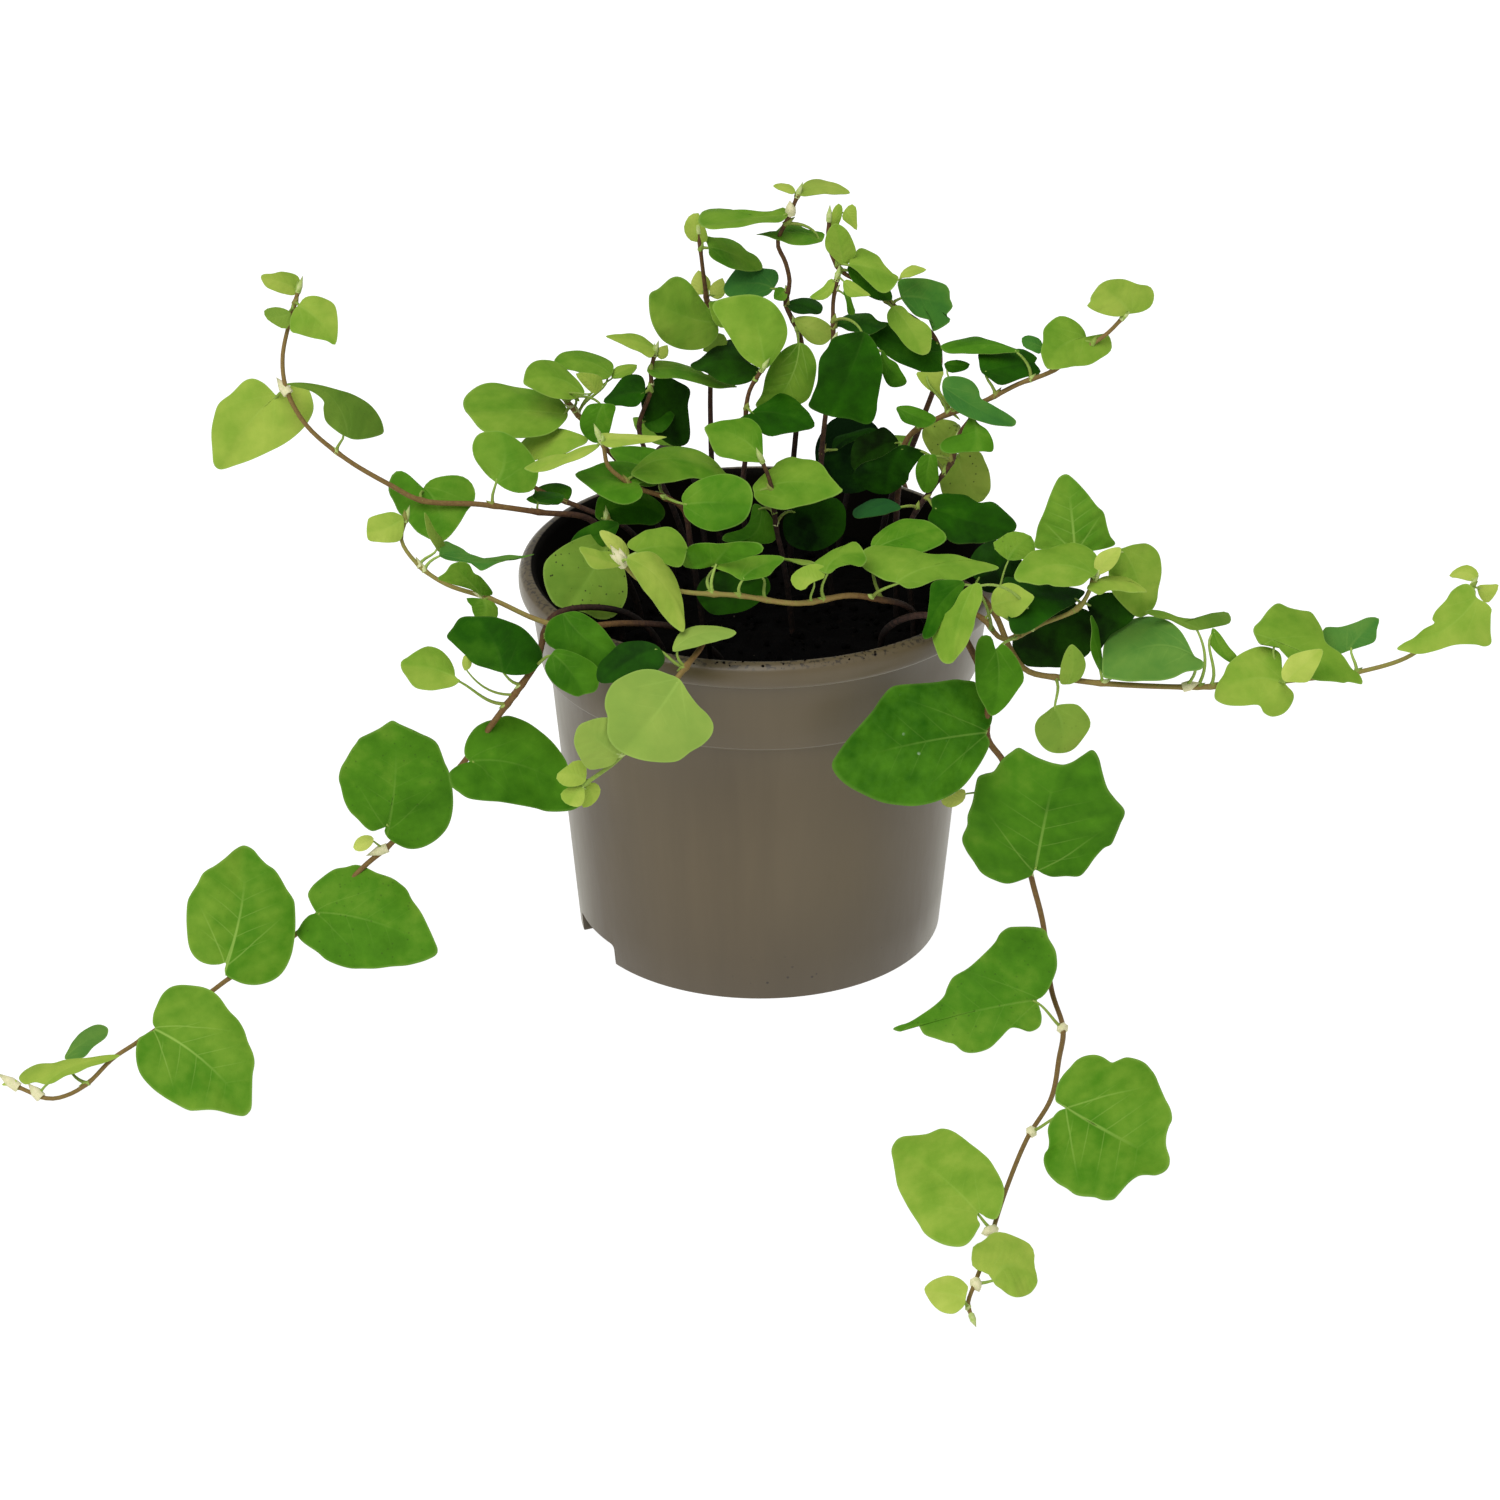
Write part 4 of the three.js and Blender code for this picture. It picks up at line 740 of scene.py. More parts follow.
        (-26.5, 90, 17, -37, 88, 14, 10, 30, 4.2, "plain", [
            [(-27, 94), (-29.5, 95), (-32, 94), (-35, 90.5)], [(-28.5, 87), (-33, 86.8)]]),
        (-25.5, 92.5, 22, -16.5, 77, 22, 14, 20, 4.5, "plain", [
            [(-22, 94.5), (-18, 93), (-15.4, 91), (-15.7, 87), (-15, 80)], [(-27.5, 89), (-27, 85),
            (-24, 80), (-20, 77)]]),
        (-27, 83, 20, -19, 85, 22, 8, 20, 4.2, "plain", "oval"),
    ]),
    ("back_left_upright", (-9, 24), "dark", [
        (-9, 62, 25), (-10, 85, 27), (-10, 102, 28), (-11, 114, 28), (-12, 122, 28), (-13, 131, 28),
    ], [
        (-13.5, 128.2, 28, -13, 135.6, 27, 6, 0, 1.3, "plain", [
            [(-15.5, 129), (-16.7, 131.5), (-16, 134), (-14.5, 135.3)], [(-10.8, 128.5), (-11, 131),
            (-12, 133.5)]]),
        (-10.5, 127, 27, 3.2, 121.6, 25, 12, 48, 2.7, "plain", [
            [(-11.5, 129.5), (-9, 129.3), (-5, 129.2), (-3, 128), (-1, 126), (1.5, 124.7)], [(-10.3, 125),
            (-8, 123.3), (-4, 121.2), (0, 121)]]),
        (-8.5, 108, 21, -25.5, 114.7, 11, 16.5, 0, 2.3, "plain", [
            [(-10, 111), (-13.5, 115.5), (-17, 119.2), (-20, 119), (-23, 116.5)], [(-8, 105), (-10, 102.5),
            (-14, 101), (-18.5, 101.5), (-22.5, 104), (-25, 108)]]),
        (-12, 115, 29, -13, 121, 30, 5, 0, 0.3, "plain", "oval"),
        (-9, 114, 28, -7, 119, 28, 4, 0, 0.3, "plain", "oval"),
        (-8, 112, 30, -16, 106, 30, 7, 20, 3.2, "bluish", "oval"),
        (-6, 104, 25, -12, 101, 24, 5, 20, 2.2, "dusty", "oval"),
        (-4, 108, 22, -10, 113, 21, 7, 20, 2.2, "plain", "oval"),
    ]),
    ("top", (8, 14), "dark", [
        (10, 60, 16), (12, 85, 18), (13, 103, 20), (9, 113, 20), (10, 118, 20), (9, 123, 20), (7, 128, 20),
        (10, 135, 20), (12, 140, 20),
    ], [
        (12, 140.5, 20, 25.3, 140.6, 18, 6.5, 35, 1.2, "dusty", [
            [(13, 142.3), (15.5, 144), (17.5, 144.2), (20, 143.5), (23, 142.5)], [(13.5, 139.8),
            (17, 140.2), (22, 140.3)]]),
        (11.5, 141, 20, 5.8, 142.4, 19, 4, 50, 0.9, "plain", [
            [(10, 142.7), (8, 143.1)], [(10.5, 140.3), (8, 141.2)]]),
        (9.5, 135, 19, -13, 134, 16, 21.5, 62, 2.3, "plain", [
            [(8.5, 136.9), (6, 136.2), (0, 136), (-8, 136.4), (-10, 136.9), (-12, 135.7)], [(8, 133.5),
            (5, 133), (0, 132.5), (-5, 132), (-10, 131.5), (-12.5, 132.5)]]),
        (18.5, 129, 20, 1.6, 130, 18, 18.5, 60, 2.8, "plain", [
            [(18.5, 130.6), (14, 131.6), (10.5, 133.2), (8.3, 132.6), (6, 130.7), (3.5, 130.4)],
            [(17, 127.7), (12, 127.6), (8, 128.4), (5, 129.5)]]),
        (9, 116, 20, 6, 114, 19, 4, 20, 3, "plain", "oval"),
        (6, 116.5, 22, -6.6, 116.5, 26, 11, 25, 3.4, "bluish", [
            [(7.2, 119), (6.3, 121.2), (2, 121.8), (-2, 122.4), (-4.5, 120.5)], [(4, 114.5), (0, 113.5),
            (-5, 114.3)]]),
        (9, 112.5, 20, 18.3, 111, 22, 8.5, 50, 4.3, "plain", [
            [(10.5, 113.5), (13.5, 114.2), (16, 113.7), (18, 112.7)], [(10.5, 110.8), (13, 110.2),
            (17, 110)]]),
        (11.2, 108.7, 19, 20.8, 104.5, 16, 6.5, 0, 1.4, "dusty", [
            [(14, 109.6), (17.5, 109), (20.4, 107)], [(13, 105), (15.5, 102.7), (18.5, 102.3)]]),
        (12.5, 102.8, 14, 4, 85.7, 9, 12, 0, 2.6, "veined", [
            [(9, 101.5), (6, 98.5), (4, 94.5), (3, 90), (1.4, 87)], [(15, 101.5), (16.7, 98), (16.5, 94),
            (15, 89), (12, 87), (8, 86)]]),
    ]),
    ("middle", (0, 4), "dark", [
        (-2, 62, 4), (-1, 76, 6), (-1, 86, 6), (0, 91, 6), (3, 96, 6),
    ], [
        (4, 96.3, 6, 0, 115, 12, 17, 0, 2.1, "plain", [
            [(0.5, 97.5), (-2.5, 100), (-5, 104), (-7.5, 108), (-9.5, 112), (-7, 114)], [(7, 99.5),
            (9, 103), (9.4, 106.5), (8, 110.3), (5, 113.5)]]),
        (2.5, 95.5, 12, -15, 97, 15, 19, 45, 4.4, "plain", [
            [(0, 98), (-2.5, 101), (-5, 103.5), (-9, 101.6), (-12.5, 99)], [(-0.5, 92.7), (-5, 92.3),
            (-10, 94.5)]]),
        (0, 85, 2, 16.3, 81.8, -3, 16.5, 45, 4.2, "plain", [
            [(1.5, 86.3), (5, 88.6), (8, 89.8), (11, 88.8), (14, 86.3), (15.5, 84)], [(-2.5, 83.5), (1, 81),
            (4.5, 79.6), (8, 79.8), (13, 80.4)]]),
    ]),
    ("middle_tall", (18, 2), "dark", [
        (18, 60, 3), (18, 73, 4), (19, 84, 5), (21, 97, 8), (21, 107, 9), (21, 113, 10), (22, 119, 10),
    ], [
        (21.5, 118.5, 10, 15, 114.3, 8, 3.5, 20, 1.8, "plain", [
            [(20, 118.8), (18.5, 117), (16.5, 115.5)], [(20.8, 115.5), (19, 113.8), (17, 113.6)]]),
        (23.5, 118.3, 5, 30.5, 114.7, 2, 3.5, 20, 1.7, "plain", [
            [(25, 118.7), (27, 117.5), (29, 116)], [(23.8, 115.5), (25.5, 114.3), (28, 114.5)]]),
        (23.5, 116, 10, 25.5, 109.8, 8, 2, 0, 3, "plain", [
            [(24.3, 113), (24.6, 110.3)], [(25.2, 114.8), (26, 112.5), (26.7, 110.2)]]),
        (21, 106.7, 9, 34.5, 107.5, 12, 10.5, 50, 3.9, "plain", [
            [(21, 107.7), (24, 109.7), (27, 110.3), (30, 110.2), (32, 108.5)], [(23, 106.7), (25, 106),
            (28, 105.3), (31, 105)]]),
        (29, 105.5, -2, 20, 84.3, -7, 18, 0, 4.1, "plain", [
            [(25, 105.3), (21, 104), (19.5, 101.5), (17.5, 98.5), (17, 93), (15.5, 89), (15, 86.5)],
            [(32, 102), (33.5, 97), (32.8, 91.5), (32.2, 88), (32, 85.5), (31, 83), (29, 82.3),
            (25, 83.5)]]),
        (33.2, 101, 2, 39.6, 93, 0, 5, 0, 3.4, "plain", [
            [(35, 99), (37, 97.7), (38, 96)], [(33.2, 96), (35, 92), (38, 91.7)]]),
        (21, 75.5, 6, 33, 79.8, 9, 3.5, 20, 4.7, "plain", [
            [(21, 80), (24, 83), (28, 82.5), (31, 81.3)], [(25, 77.5), (29, 79)]]),
    ]),
    ("right_upright", (30, 12), "dark", [
        (34, 58, 13), (43, 82, 14), (48, 98, 14), (46, 105, 14), (35, 113, 13), (28, 118, 12),
        (23, 121, 12), (20, 127, 12), (20, 134, 12),
    ], [
        (23.5, 122.5, 10, 21.8, 132.8, 8, 7, 0, 1.8, "plain", [
            [(20.5, 124.8), (19, 127), (19.2, 130), (20.3, 132)], [(25.5, 123.5), (26.8, 125.5),
            (26, 128.5), (24.3, 131.5)]]),
        (21, 131, 12, 22.4, 138, 11, 2.5, 0, 1.5, "plain", [
            [(20.3, 133.5), (21, 136.5)], [(22.8, 133.5), (23.4, 136.8)]]),
        (24, 136.5, 12, 27, 131.2, 11, 4, 0, 1.2, "plain", [
            [(25.5, 137.8), (26.8, 137), (27, 134)], [(23.2, 134.5), (24, 133.4), (25.5, 132.3)]]),
        (25, 122.5, 8, 37.5, 119.5, 6, 13.5, 45, 2.1, "plain", [
            [(26.5, 125.5), (27.5, 126.4), (29, 126.3), (32, 125), (34, 122.5), (36, 120.5)], [(28, 120),
            (31, 117), (34, 115.5), (36.5, 117)]]),
        (24.5, 121.5, 11, 36, 114, 9, 6, 30, 3.9, "plain", [
            [(27, 123), (29, 121.5), (32, 119), (35, 116.5)], [(27, 117), (31, 114), (34, 113.4)]]),
        (38, 114.5, 14, 51.2, 112, 16, 13.5, 20, 3, "bluish", [
            [(37.5, 118.6), (41, 119), (45, 118.9), (49, 117.8), (50.3, 116), (50.5, 114)], [(40, 111.5),
            (42, 109.5), (46, 108), (46, 105.8), (49, 107), (50.7, 108.5), (49.4, 109.5), (50, 110.3)]]),
        (36, 112, 10, 43.5, 99.7, 3, 8, 0, 2, "plain", [
            [(34.6, 110), (35, 107.5), (37, 105), (39, 102.3), (41, 100.7)], [(38.5, 112), (41, 109.5),
            (44, 108), (45.7, 106), (45.8, 103), (45.3, 100.5)]]),
        (37.7, 119.3, 13, 44.6, 121.2, 12, 4.5, 40, 1, "plain", [
            [(39, 121.3), (41, 122.4), (43, 122)], [(40, 119.3), (42, 120)]]),
        (48.5, 100.5, 12, 29.5, 107.5, 15, 9, 15, 3.9, "plain", [
            [(47, 103.5), (44, 104), (38, 106.5), (34, 108)], [(48.3, 98), (48.7, 95.4), (45, 95),
            (41, 96.3), (37, 98), (33, 101), (30.5, 104)]]),
        (35, 74, 17, 16.5, 75.5, 12, 20, 10, 5, "plain", [
            [(34.5, 78), (31, 82.5), (26, 84.5), (21, 83.5), (18, 80)], [(35.5, 72), (34, 69.5), (30, 66),
            (25, 64.8), (20, 66.5), (17, 70.5)]]),
    ]),
    ("right_high", (34, -3), "red", [
        (37, 60, -5), (38, 70, -5), (40, 79, -5), (48, 84, -5), (59, 88, -5), (63, 90, -5), (68, 92.5, -4),
        (76, 95.5, -3), (84, 101, -2), (90, 105, -1), (94, 109, 0),
    ], [
        (96, 110, 0, 88, 117.4, -2, 14, 0, 1.4, "plain", [
            [(99, 110.8), (101.3, 112.3), (102, 115), (101, 117), (98, 117.6), (94.5, 118.8),
            (90.5, 118.8)], [(93, 109.4), (90, 109.8), (87, 110.8), (85, 112.2), (86, 113),
            (86.3, 114.5)]]),
        (85, 103.8, -1, 75, 96.2, -11, 15, 0, 2.2, "plain", [
            [(85, 105.2), (83.5, 107.2), (81, 108.8), (78, 109.4), (75.8, 108.2), (74.1, 106), (74, 103),
            (73.5, 100)], [(87.5, 104.6), (90.3, 105), (91.3, 102.3), (90.7, 100.3), (88.5, 98.8),
            (85.8, 97.3), (82, 97), (79, 96.2)]]),
        (74, 101.5, -3, 68.6, 104, -3, 3.5, 20, 2.9, "bluish", [
            [(73, 103.8), (70.5, 104.7)], [(73.3, 100), (71, 100.8), (69, 102)]]),
        (58.5, 95.5, -3, 72.5, 98.8, 1, 12, 38, 4.2, "plain", [
            [(57.8, 98), (58, 100.2), (63, 100.3), (68, 101.5), (70.5, 100.5)], [(61.5, 92.8), (64, 92.1),
            (68, 93.7), (73.3, 95.3), (71.9, 97.5)]]),
        (68, 100.8, 0, 48.3, 102, 3, 9.5, 50, 3.1, "plain", [
            [(65, 102), (61, 103.3), (57, 104.4), (53, 103.8)], [(63, 100), (58, 100), (54, 100.1),
            (49.5, 100.4)]]),
        (48.5, 92, -8, 67.2, 83, -12, 10, 30, 3.2, "bluish", [
            [(49.5, 94.2), (53, 94.3), (56, 93), (57.7, 91), (58.4, 88.6), (61.5, 87), (65, 85)],
            [(49, 88.7), (51.5, 86), (54.5, 84.3), (58, 83), (62, 82), (66, 81.5)]]),
        (49, 97.5, 1, 55.5, 97.4, 3, 3, 20, 4, "plain", [
            [(51, 98.4), (53, 98.4)], [(50, 95.5), (52, 95.3), (54.5, 96)]]),
        (44, 95.4, -3, 53.2, 83.2, -4, 6, 0, 1.1, "plain", [
            [(42, 95.3), (43, 93), (45, 91), (47.3, 89.7), (48.5, 87), (50.5, 85)], [(47, 95.4), (49, 95.5),
            (48.5, 94), (48, 91), (49.5, 88.5), (51, 86)]]),
        (37, 86.5, -8, 46.7, 82.8, -10, 4.5, 20, 3.4, "plain", [
            [(40, 87), (42.5, 86.3), (46.5, 84.4)], [(37.5, 84.8), (38.5, 83), (41, 82), (44, 81.3)]]),
        (37.5, 78, 0, 26, 71, 0, 8.5, 0, 4.8, "plain", [
            [(34, 81.5), (31, 80.3), (27, 78.7), (25.5, 75)], [(36, 74.5), (33, 72), (29, 70.5)]]),
    ]),
    ("right_low", (38, -12), "dark", [
        (40, 56, -12), (46, 66, -11), (51, 73, -10), (53, 80, -9), (56, 84, -9),
    ], [
        (55.8, 84, -10, 55, 75.2, -17, 13, 0, 3.1, "plain", [
            [(54, 81.5), (53, 79.4), (50, 78.7), (47.9, 77), (48.7, 75.3), (51, 74.9)], [(57.8, 82.3),
            (60, 80.5), (61.4, 78), (61.2, 75.4), (58, 75.2)]]),
        (52.3, 82.5, 1, 43.4, 79.8, 3, 12, 10, 1.4, "specked", [
            [(49, 83.5), (46.5, 83.2), (44.5, 82)], [(52.5, 79), (51.5, 76), (51, 73.5), (49, 71.2),
            (47.3, 73), (45.5, 75), (44, 77.5)]]),
        (52.5, 74.9, -2, 58, 62.5, -3, 12.5, 0, 1.5, "specked", [
            [(50.5, 71.8), (48, 69), (48, 66.5), (49, 64), (51, 64.5), (54, 64)], [(55, 75.4), (58, 75.3),
            (59.3, 73), (60.5, 70), (60.7, 66.5), (60, 64.5)]]),
        (45.5, 74.6, -12, 44, 65, -13, 6, 0, 3.3, "plain", [
            [(43.5, 74.3), (42, 72), (41.8, 69.5), (42.5, 67)], [(47, 74.3), (47.5, 71), (47.5, 68),
            (46, 65.5)]]),
        (46, 61, -17, 67.3, 56.5, -20, 16.5, 42, 4.2, "plain", [
            [(46, 63.5), (50, 64.6), (54, 64.6), (56.5, 63.2), (58, 62.5), (61, 62.6), (63, 61.5),
            (65.5, 59)], [(45, 58.5), (47, 56), (51, 52.5), (56, 52), (59, 52.2), (63, 53.5), (66, 54.8)]]),
        (38, 61.5, -15, 26.5, 58.5, -14, 9.5, 50, 4.6, "bluish", [
            [(35, 63.2), (31, 63.3), (28, 62), (26, 60.5)], [(37, 60.3), (33, 59.3), (29, 58.7)]]),
        (38.5, 77, -9, 34.5, 64.6, -10, 15, 0, 4.8, "plain", [
            [(44, 75), (42, 72.5), (40.3, 70), (39.5, 67.5)], [(33, 74), (28, 72), (26, 69), (29, 66)]]),
    ]),
    ("middle_front", (8, -16), "dark", [
        (8, 50, -17), (7, 54, -17), (6, 61, -17), (5, 68, -17), (3, 73, -17),
    ], [
        (3, 73, -17, -11.5, 81.5, -12, 14, 28, 2.6, "plain", [
            [(3.3, 77), (2.8, 80.5), (1, 83), (-1, 83.9), (-5, 83.5), (-9, 82.7)], [(1, 72.6), (-3, 73),
            (-7, 74), (-9, 75.5), (-10.5, 78.5)]]),
        (1, 65, -17, 23.3, 65.3, -22, 18.5, 38, 2.5, "plain", [
            [(1, 67), (5.5, 71), (7, 73), (10, 74.2), (13, 73.6), (16, 73), (18.5, 71.5), (20, 69.5),
            (22.5, 66.5)], [(1.3, 63.5), (3.5, 61.8), (8, 60.9), (12, 61), (16, 62.3), (20, 63.8)]]),
        (11, 61, -10, 16, 50.2, -14, 16.5, 0, 4.6, "plain", [
            [(8.5, 58.5), (8.7, 54), (11, 51.3)], [(16, 62.5), (21, 63.8), (23.8, 61.5), (24.2, 58),
            (23.5, 54.5), (20, 51.5)]]),
        (3, 61.5, -12, -6.5, 52.7, -13, 9.5, 10, 3.5, "plain", [
            [(0.8, 62), (0, 58), (-2, 55.8), (-6.3, 54.5)], [(5, 59.5), (6.3, 57), (6.8, 54), (5, 52.2),
            (0, 52.2)]]),
    ]),
    ("right_front", (42, -9), "tan", [
        (48, 37, -23), (53, 36, -34), (59, 33, -43), (64, 28, -49), (74, 32, -51), (83, 36, -51),
        (87, 43, -51),
    ], [
        (87.6, 44.6, -51, 93.6, 51, -52, 4.5, 0, 0.4, "plain", [
            [(86.8, 47), (88, 49.5), (91, 50.9)], [(89, 44.5), (91.5, 46), (93.2, 48.5)]]),
        (85, 41, -54, 100.2, 39.8, -56, 13, 58, 1.6, "plain", [
            [(87, 42.5), (90, 43.8), (93, 44.2), (96, 43.2), (98.5, 41.5)], [(88, 39.3), (91, 40.2),
            (96, 40)]]),
        (87, 44, -53, 66.7, 43.5, -56, 17, 43, 2, "plain", [
            [(88, 46), (87.5, 49), (84.5, 51.3), (80, 52.3), (75, 51), (71, 50), (68.5, 47.5), (67, 45)],
            [(86, 43.5), (84, 42), (81, 41.1), (77, 41.2), (75, 42), (72, 42), (68, 42.3)]]),
        (82, 50, -41, 80, 69.6, -36, 19, 0, 2.7, "veined", [
            [(76, 50.5), (72, 51), (72.2, 54), (72.8, 57), (74.5, 61), (75.8, 64.5), (77, 67.3),
            (78.2, 69)], [(88, 50.5), (92.2, 51.8), (91, 54), (90.2, 56.5), (89.3, 60), (87.5, 61.8),
            (85, 65), (82, 68.2)]]),
        (94, 51, -43, 100.5, 34.2, -44, 14.5, 15, 1.9, "plain", [
            [(97, 52), (100.5, 52), (103, 50), (103.8, 46), (103.2, 41), (102.6, 37.5)], [(91.6, 50),
            (90.6, 46), (90.8, 42), (92.3, 38.5), (95.3, 35.3), (98, 33.5)]]),
        (83, 38, -46, 64, 43, -48, 15.5, 55, 4.3, "plain", [
            [(84.5, 40), (81, 41), (76, 42), (71, 42.5)], [(81, 36.5), (76, 33.5), (70, 31), (66, 33)]]),
        (83, 36, -41, 79, 21, -43, 19, 0, 4.7, "plain", [
            [(80, 39), (75, 39), (70, 36), (67, 31), (66.3, 25.5), (69, 21.5), (72, 20.9), (76, 21)],
            [(86.3, 34.5), (87.3, 30), (86, 25), (83, 22.5)]]),
        (85, 37, -44, 95, 31.5, -46, 15.5, 0, 4.8, "plain", [
            [(87, 39), (91, 39.8), (96, 39), (97.5, 37), (97.3, 34)], [(86.3, 33), (86.5, 28), (88, 25),
            (91, 29)]]),
        (61, 36.3, -56, 71.6, 38, -58, 8.5, 0, 1.2, "plain", [
            [(61, 39), (62.5, 41.2), (65, 42.2), (67.5, 41.7), (70, 40), (71.6, 39)], [(62, 34.5),
            (63.5, 33.6), (66, 33.4), (68, 34), (70, 36)]]),
        (57, 42, -65, 49.5, 21.8, -70, 14, 45, 2, "plain", [
            [(53.5, 40), (51, 36), (48, 33), (46.3, 29.5), (47, 25.5), (48, 22.8)], [(58.5, 41.5),
            (58.3, 38), (57, 34), (56.3, 30), (54, 25.5), (51.5, 22.5)]]),
        (54, 42.5, -60, 44, 28, -64, 7.5, 0, 3.9, "plain", [
            [(50, 43), (46, 42.3), (45.3, 38), (44.6, 33), (43.5, 29.5)], [(53.5, 40), (51, 36),
            (48.5, 32.5), (46.5, 29)]]),
        (62, 25.5, -62, 61, 8.5, -67, 12, 0, 3.3, "plain", [
            [(61, 28.5), (58.5, 28.8), (57, 26), (56.8, 20), (57.2, 15), (59.3, 10.8)], [(63.5, 27),
            (65.5, 25.6), (68, 22), (69.2, 18), (67.5, 15), (64.5, 11)]]),
        (65, 48, -40, 71, 54, -38, 9, 0, 2.3, "spotted", [
            [(63, 49.5), (61, 51.8), (62.5, 53), (65, 54.8), (67.5, 55.2)], [(68, 48), (71.5, 49),
            (72, 51)]]),
        (57, 43, -33, 67.5, 50, -31, 13, 0, 4.7, "plain", [
            [(55.5, 45), (55.5, 48), (58, 51.5), (62, 53), (65, 52.5)], [(57.8, 41.2), (60, 39.8),
            (64.5, 39.8), (68, 42.5), (69, 46.5)]]),
    ]),
    ("right_runner", (46, 2), "tan", [
        (51, 43, -12), (57, 40, -26), (62, 34, -38), (66, 25, -47), (70, 20, -51), (80, 18, -52),
        (87, 17, -52), (105, 16, -50), (117, 16, -48), (141, 18, -44), (155, 20, -40), (167, 24, -38),
        (176, 32, -36), (182, 41, -35),
    ], [
        (183.5, 38.5, -40, 163.3, 25.5, -45, 16, 0, 1.7, "plain", [
            [(182.5, 41), (181, 42), (179, 41.5), (177, 40), (175.6, 37.8), (173, 35), (172.2, 33),
            (172.7, 32), (170, 30.5), (167.5, 28.3), (165, 27)], [(186, 37), (187.2, 35.5), (187, 34),
            (187, 30), (187.2, 27), (185.5, 26.1), (183, 26.6), (178, 26.5), (173, 25), (169, 24.2),
            (165.5, 24.8)]]),
        (183.5, 43.2, -33, 176.5, 44, -32, 4.5, 20, 0.8, "plain", [
            [(183.8, 45), (181.5, 46.7), (179, 46.2)], [(182, 42.6), (179, 43.3)]]),
        (183.6, 40.5, -34, 189, 41.7, -33, 4.5, 0, 0.7, "plain", [
            [(184, 41.6), (187, 41.8)], [(184.3, 38.5), (186, 37), (188, 39)]]),
        (132, 27.5, -44, 154.6, 16.8, -50, 19.5, 35, 2.3, "plain", [
            [(129, 26.5), (127.6, 29), (127.3, 31.2), (129, 33), (131, 35.5), (133.3, 36.9), (136, 35.8),
            (139, 35.1), (141.5, 34.7), (143, 33), (144.5, 30.5), (145.5, 27), (149.5, 24), (152, 20.8),
            (154, 19.3)], [(134, 25), (137, 22), (141, 18.5), (145.5, 17.5), (149.5, 16.7), (151, 17)]]),
        (151, 25, -36, 158.8, 33.2, -34, 11, 10, 2.7, "bluish", [
            [(156.5, 26.7), (158, 28), (158.3, 30.5)], [(148.5, 24.3), (144.8, 27), (145, 30.8),
            (149, 31.1), (153, 32.3), (156, 33.5)]]),
        (135, 16.8, -47, 117.4, 13, -52, 17.5, 0, 1.6, "plain", [
            [(137.1, 14.3), (136.8, 11.8), (135, 9.3), (132, 8.4), (129.7, 9.3), (128.3, 11.3), (124, 11.1),
            (120, 11.4)], [(134.5, 20), (134, 24), (132, 25.6), (129, 26.2), (126, 25.4), (123, 23.8),
            (120.5, 21.5), (119.5, 19), (118, 16.3)]]),
        (135, 17.3, -56, 144.4, 25.4, -58, 7.5, 0, 0.7, "plain", [
            [(134.2, 19), (134.5, 21), (136.5, 23.8), (140, 25)], [(137, 17.2), (139, 17), (141, 17.3),
            (142.5, 19.5), (144, 22.5)]]),
        (112.2, 24, -54, 89, 19, -57, 21, 32, 2.4, "bluish", [
            [(110.5, 27), (108.5, 30), (105.5, 32.5), (100.5, 34), (95.5, 32.8), (91.5, 30), (89.5, 27),
            (89, 23)], [(114, 22.9), (114.7, 21.5), (113.5, 20.2), (110, 19.8), (106.5, 18), (101, 17.2),
            (94, 17.8), (90, 18)]]),
        (113.7, 30.3, -45, 101, 35.4, -47, 12.5, 40, 2.7, "dusty", [
            [(117, 31), (120.7, 31.7), (121.3, 33.3), (120.3, 34.9), (116, 34.3), (112, 33.1), (108, 33.6),
            (105, 34.8)], [(112, 30.3), (109, 31.3), (105, 33), (100, 34.5)]]),
        (116.8, 30.8, -44, 121.5, 22, -46, 4.5, 0, 2.7, "plain", [
            [(116.3, 29), (116, 27), (118, 24.3)], [(118.5, 29.5), (121, 26), (123, 23.5)]]),
        (80, 16.5, -54, 81.3, 26.7, -55, 6, 0, 1.9, "dusty", [
            [(78.3, 17), (78.4, 21), (79.5, 24.5)], [(82, 17.2), (83.8, 18.5), (84.8, 21.5),
            (83.7, 24.5)]]),
        (88.5, 19.5, -52, 86.3, 34, -54, 5, 50, 3.2, "plain", [
            [(86, 25), (86.3, 30), (86, 33)], [(89, 21), (88.7, 25), (88, 30)]]),
        (76.8, 11, -58, 78, -0.8, -61, 13.5, 0, 2.2, "dusty", [
            [(74.5, 9.5), (72.8, 8), (71.9, 6), (72.2, 3.5), (73.5, 1.2), (75.2, -0.2)], [(79.5, 11.6),
            (82.5, 11.5), (84.3, 10), (85.7, 8), (85.9, 6), (84.5, 3.5), (82.5, 0.8), (80.5, -0.5)]]),
    ]),
    ("right_trailing", (30, -37), "red", [
        (34, 30, -43), (42, 34, -47), (51, 32, -52), (57, 23, -57), (60, 13, -58), (60, 3, -59),
        (64, -3, -58), (68, -17, -55), (71, -32, -53), (74, -44, -52), (76, -60, -56), (79, -70, -72),
        (78, -78, -89), (76, -88, -108), (70, -98, -127), (65, -110, -149), (62, -119, -165),
        (60, -126, -177), (57, -134, -190), (55, -140, -197), (56, -143, -201),
    ], [
        (59.5, 4.3, -61, 20.7, -3.5, -70, 30, 10, 3.7, "wet", [
            [(60.8, 6.5), (61, 9.5), (58.5, 13), (57, 16.8), (54, 17.4), (51.5, 17.7), (47, 17.2),
            (42, 16.9), (38, 16.6), (35.5, 15.8), (33, 13), (31, 10), (28, 6.5), (24.5, 2.5), (22, -1)],
            [(60.5, 2), (59.8, -0.5), (57.5, -4.5), (54, -9), (50, -11.8), (46, -13.5), (42, -14.2),
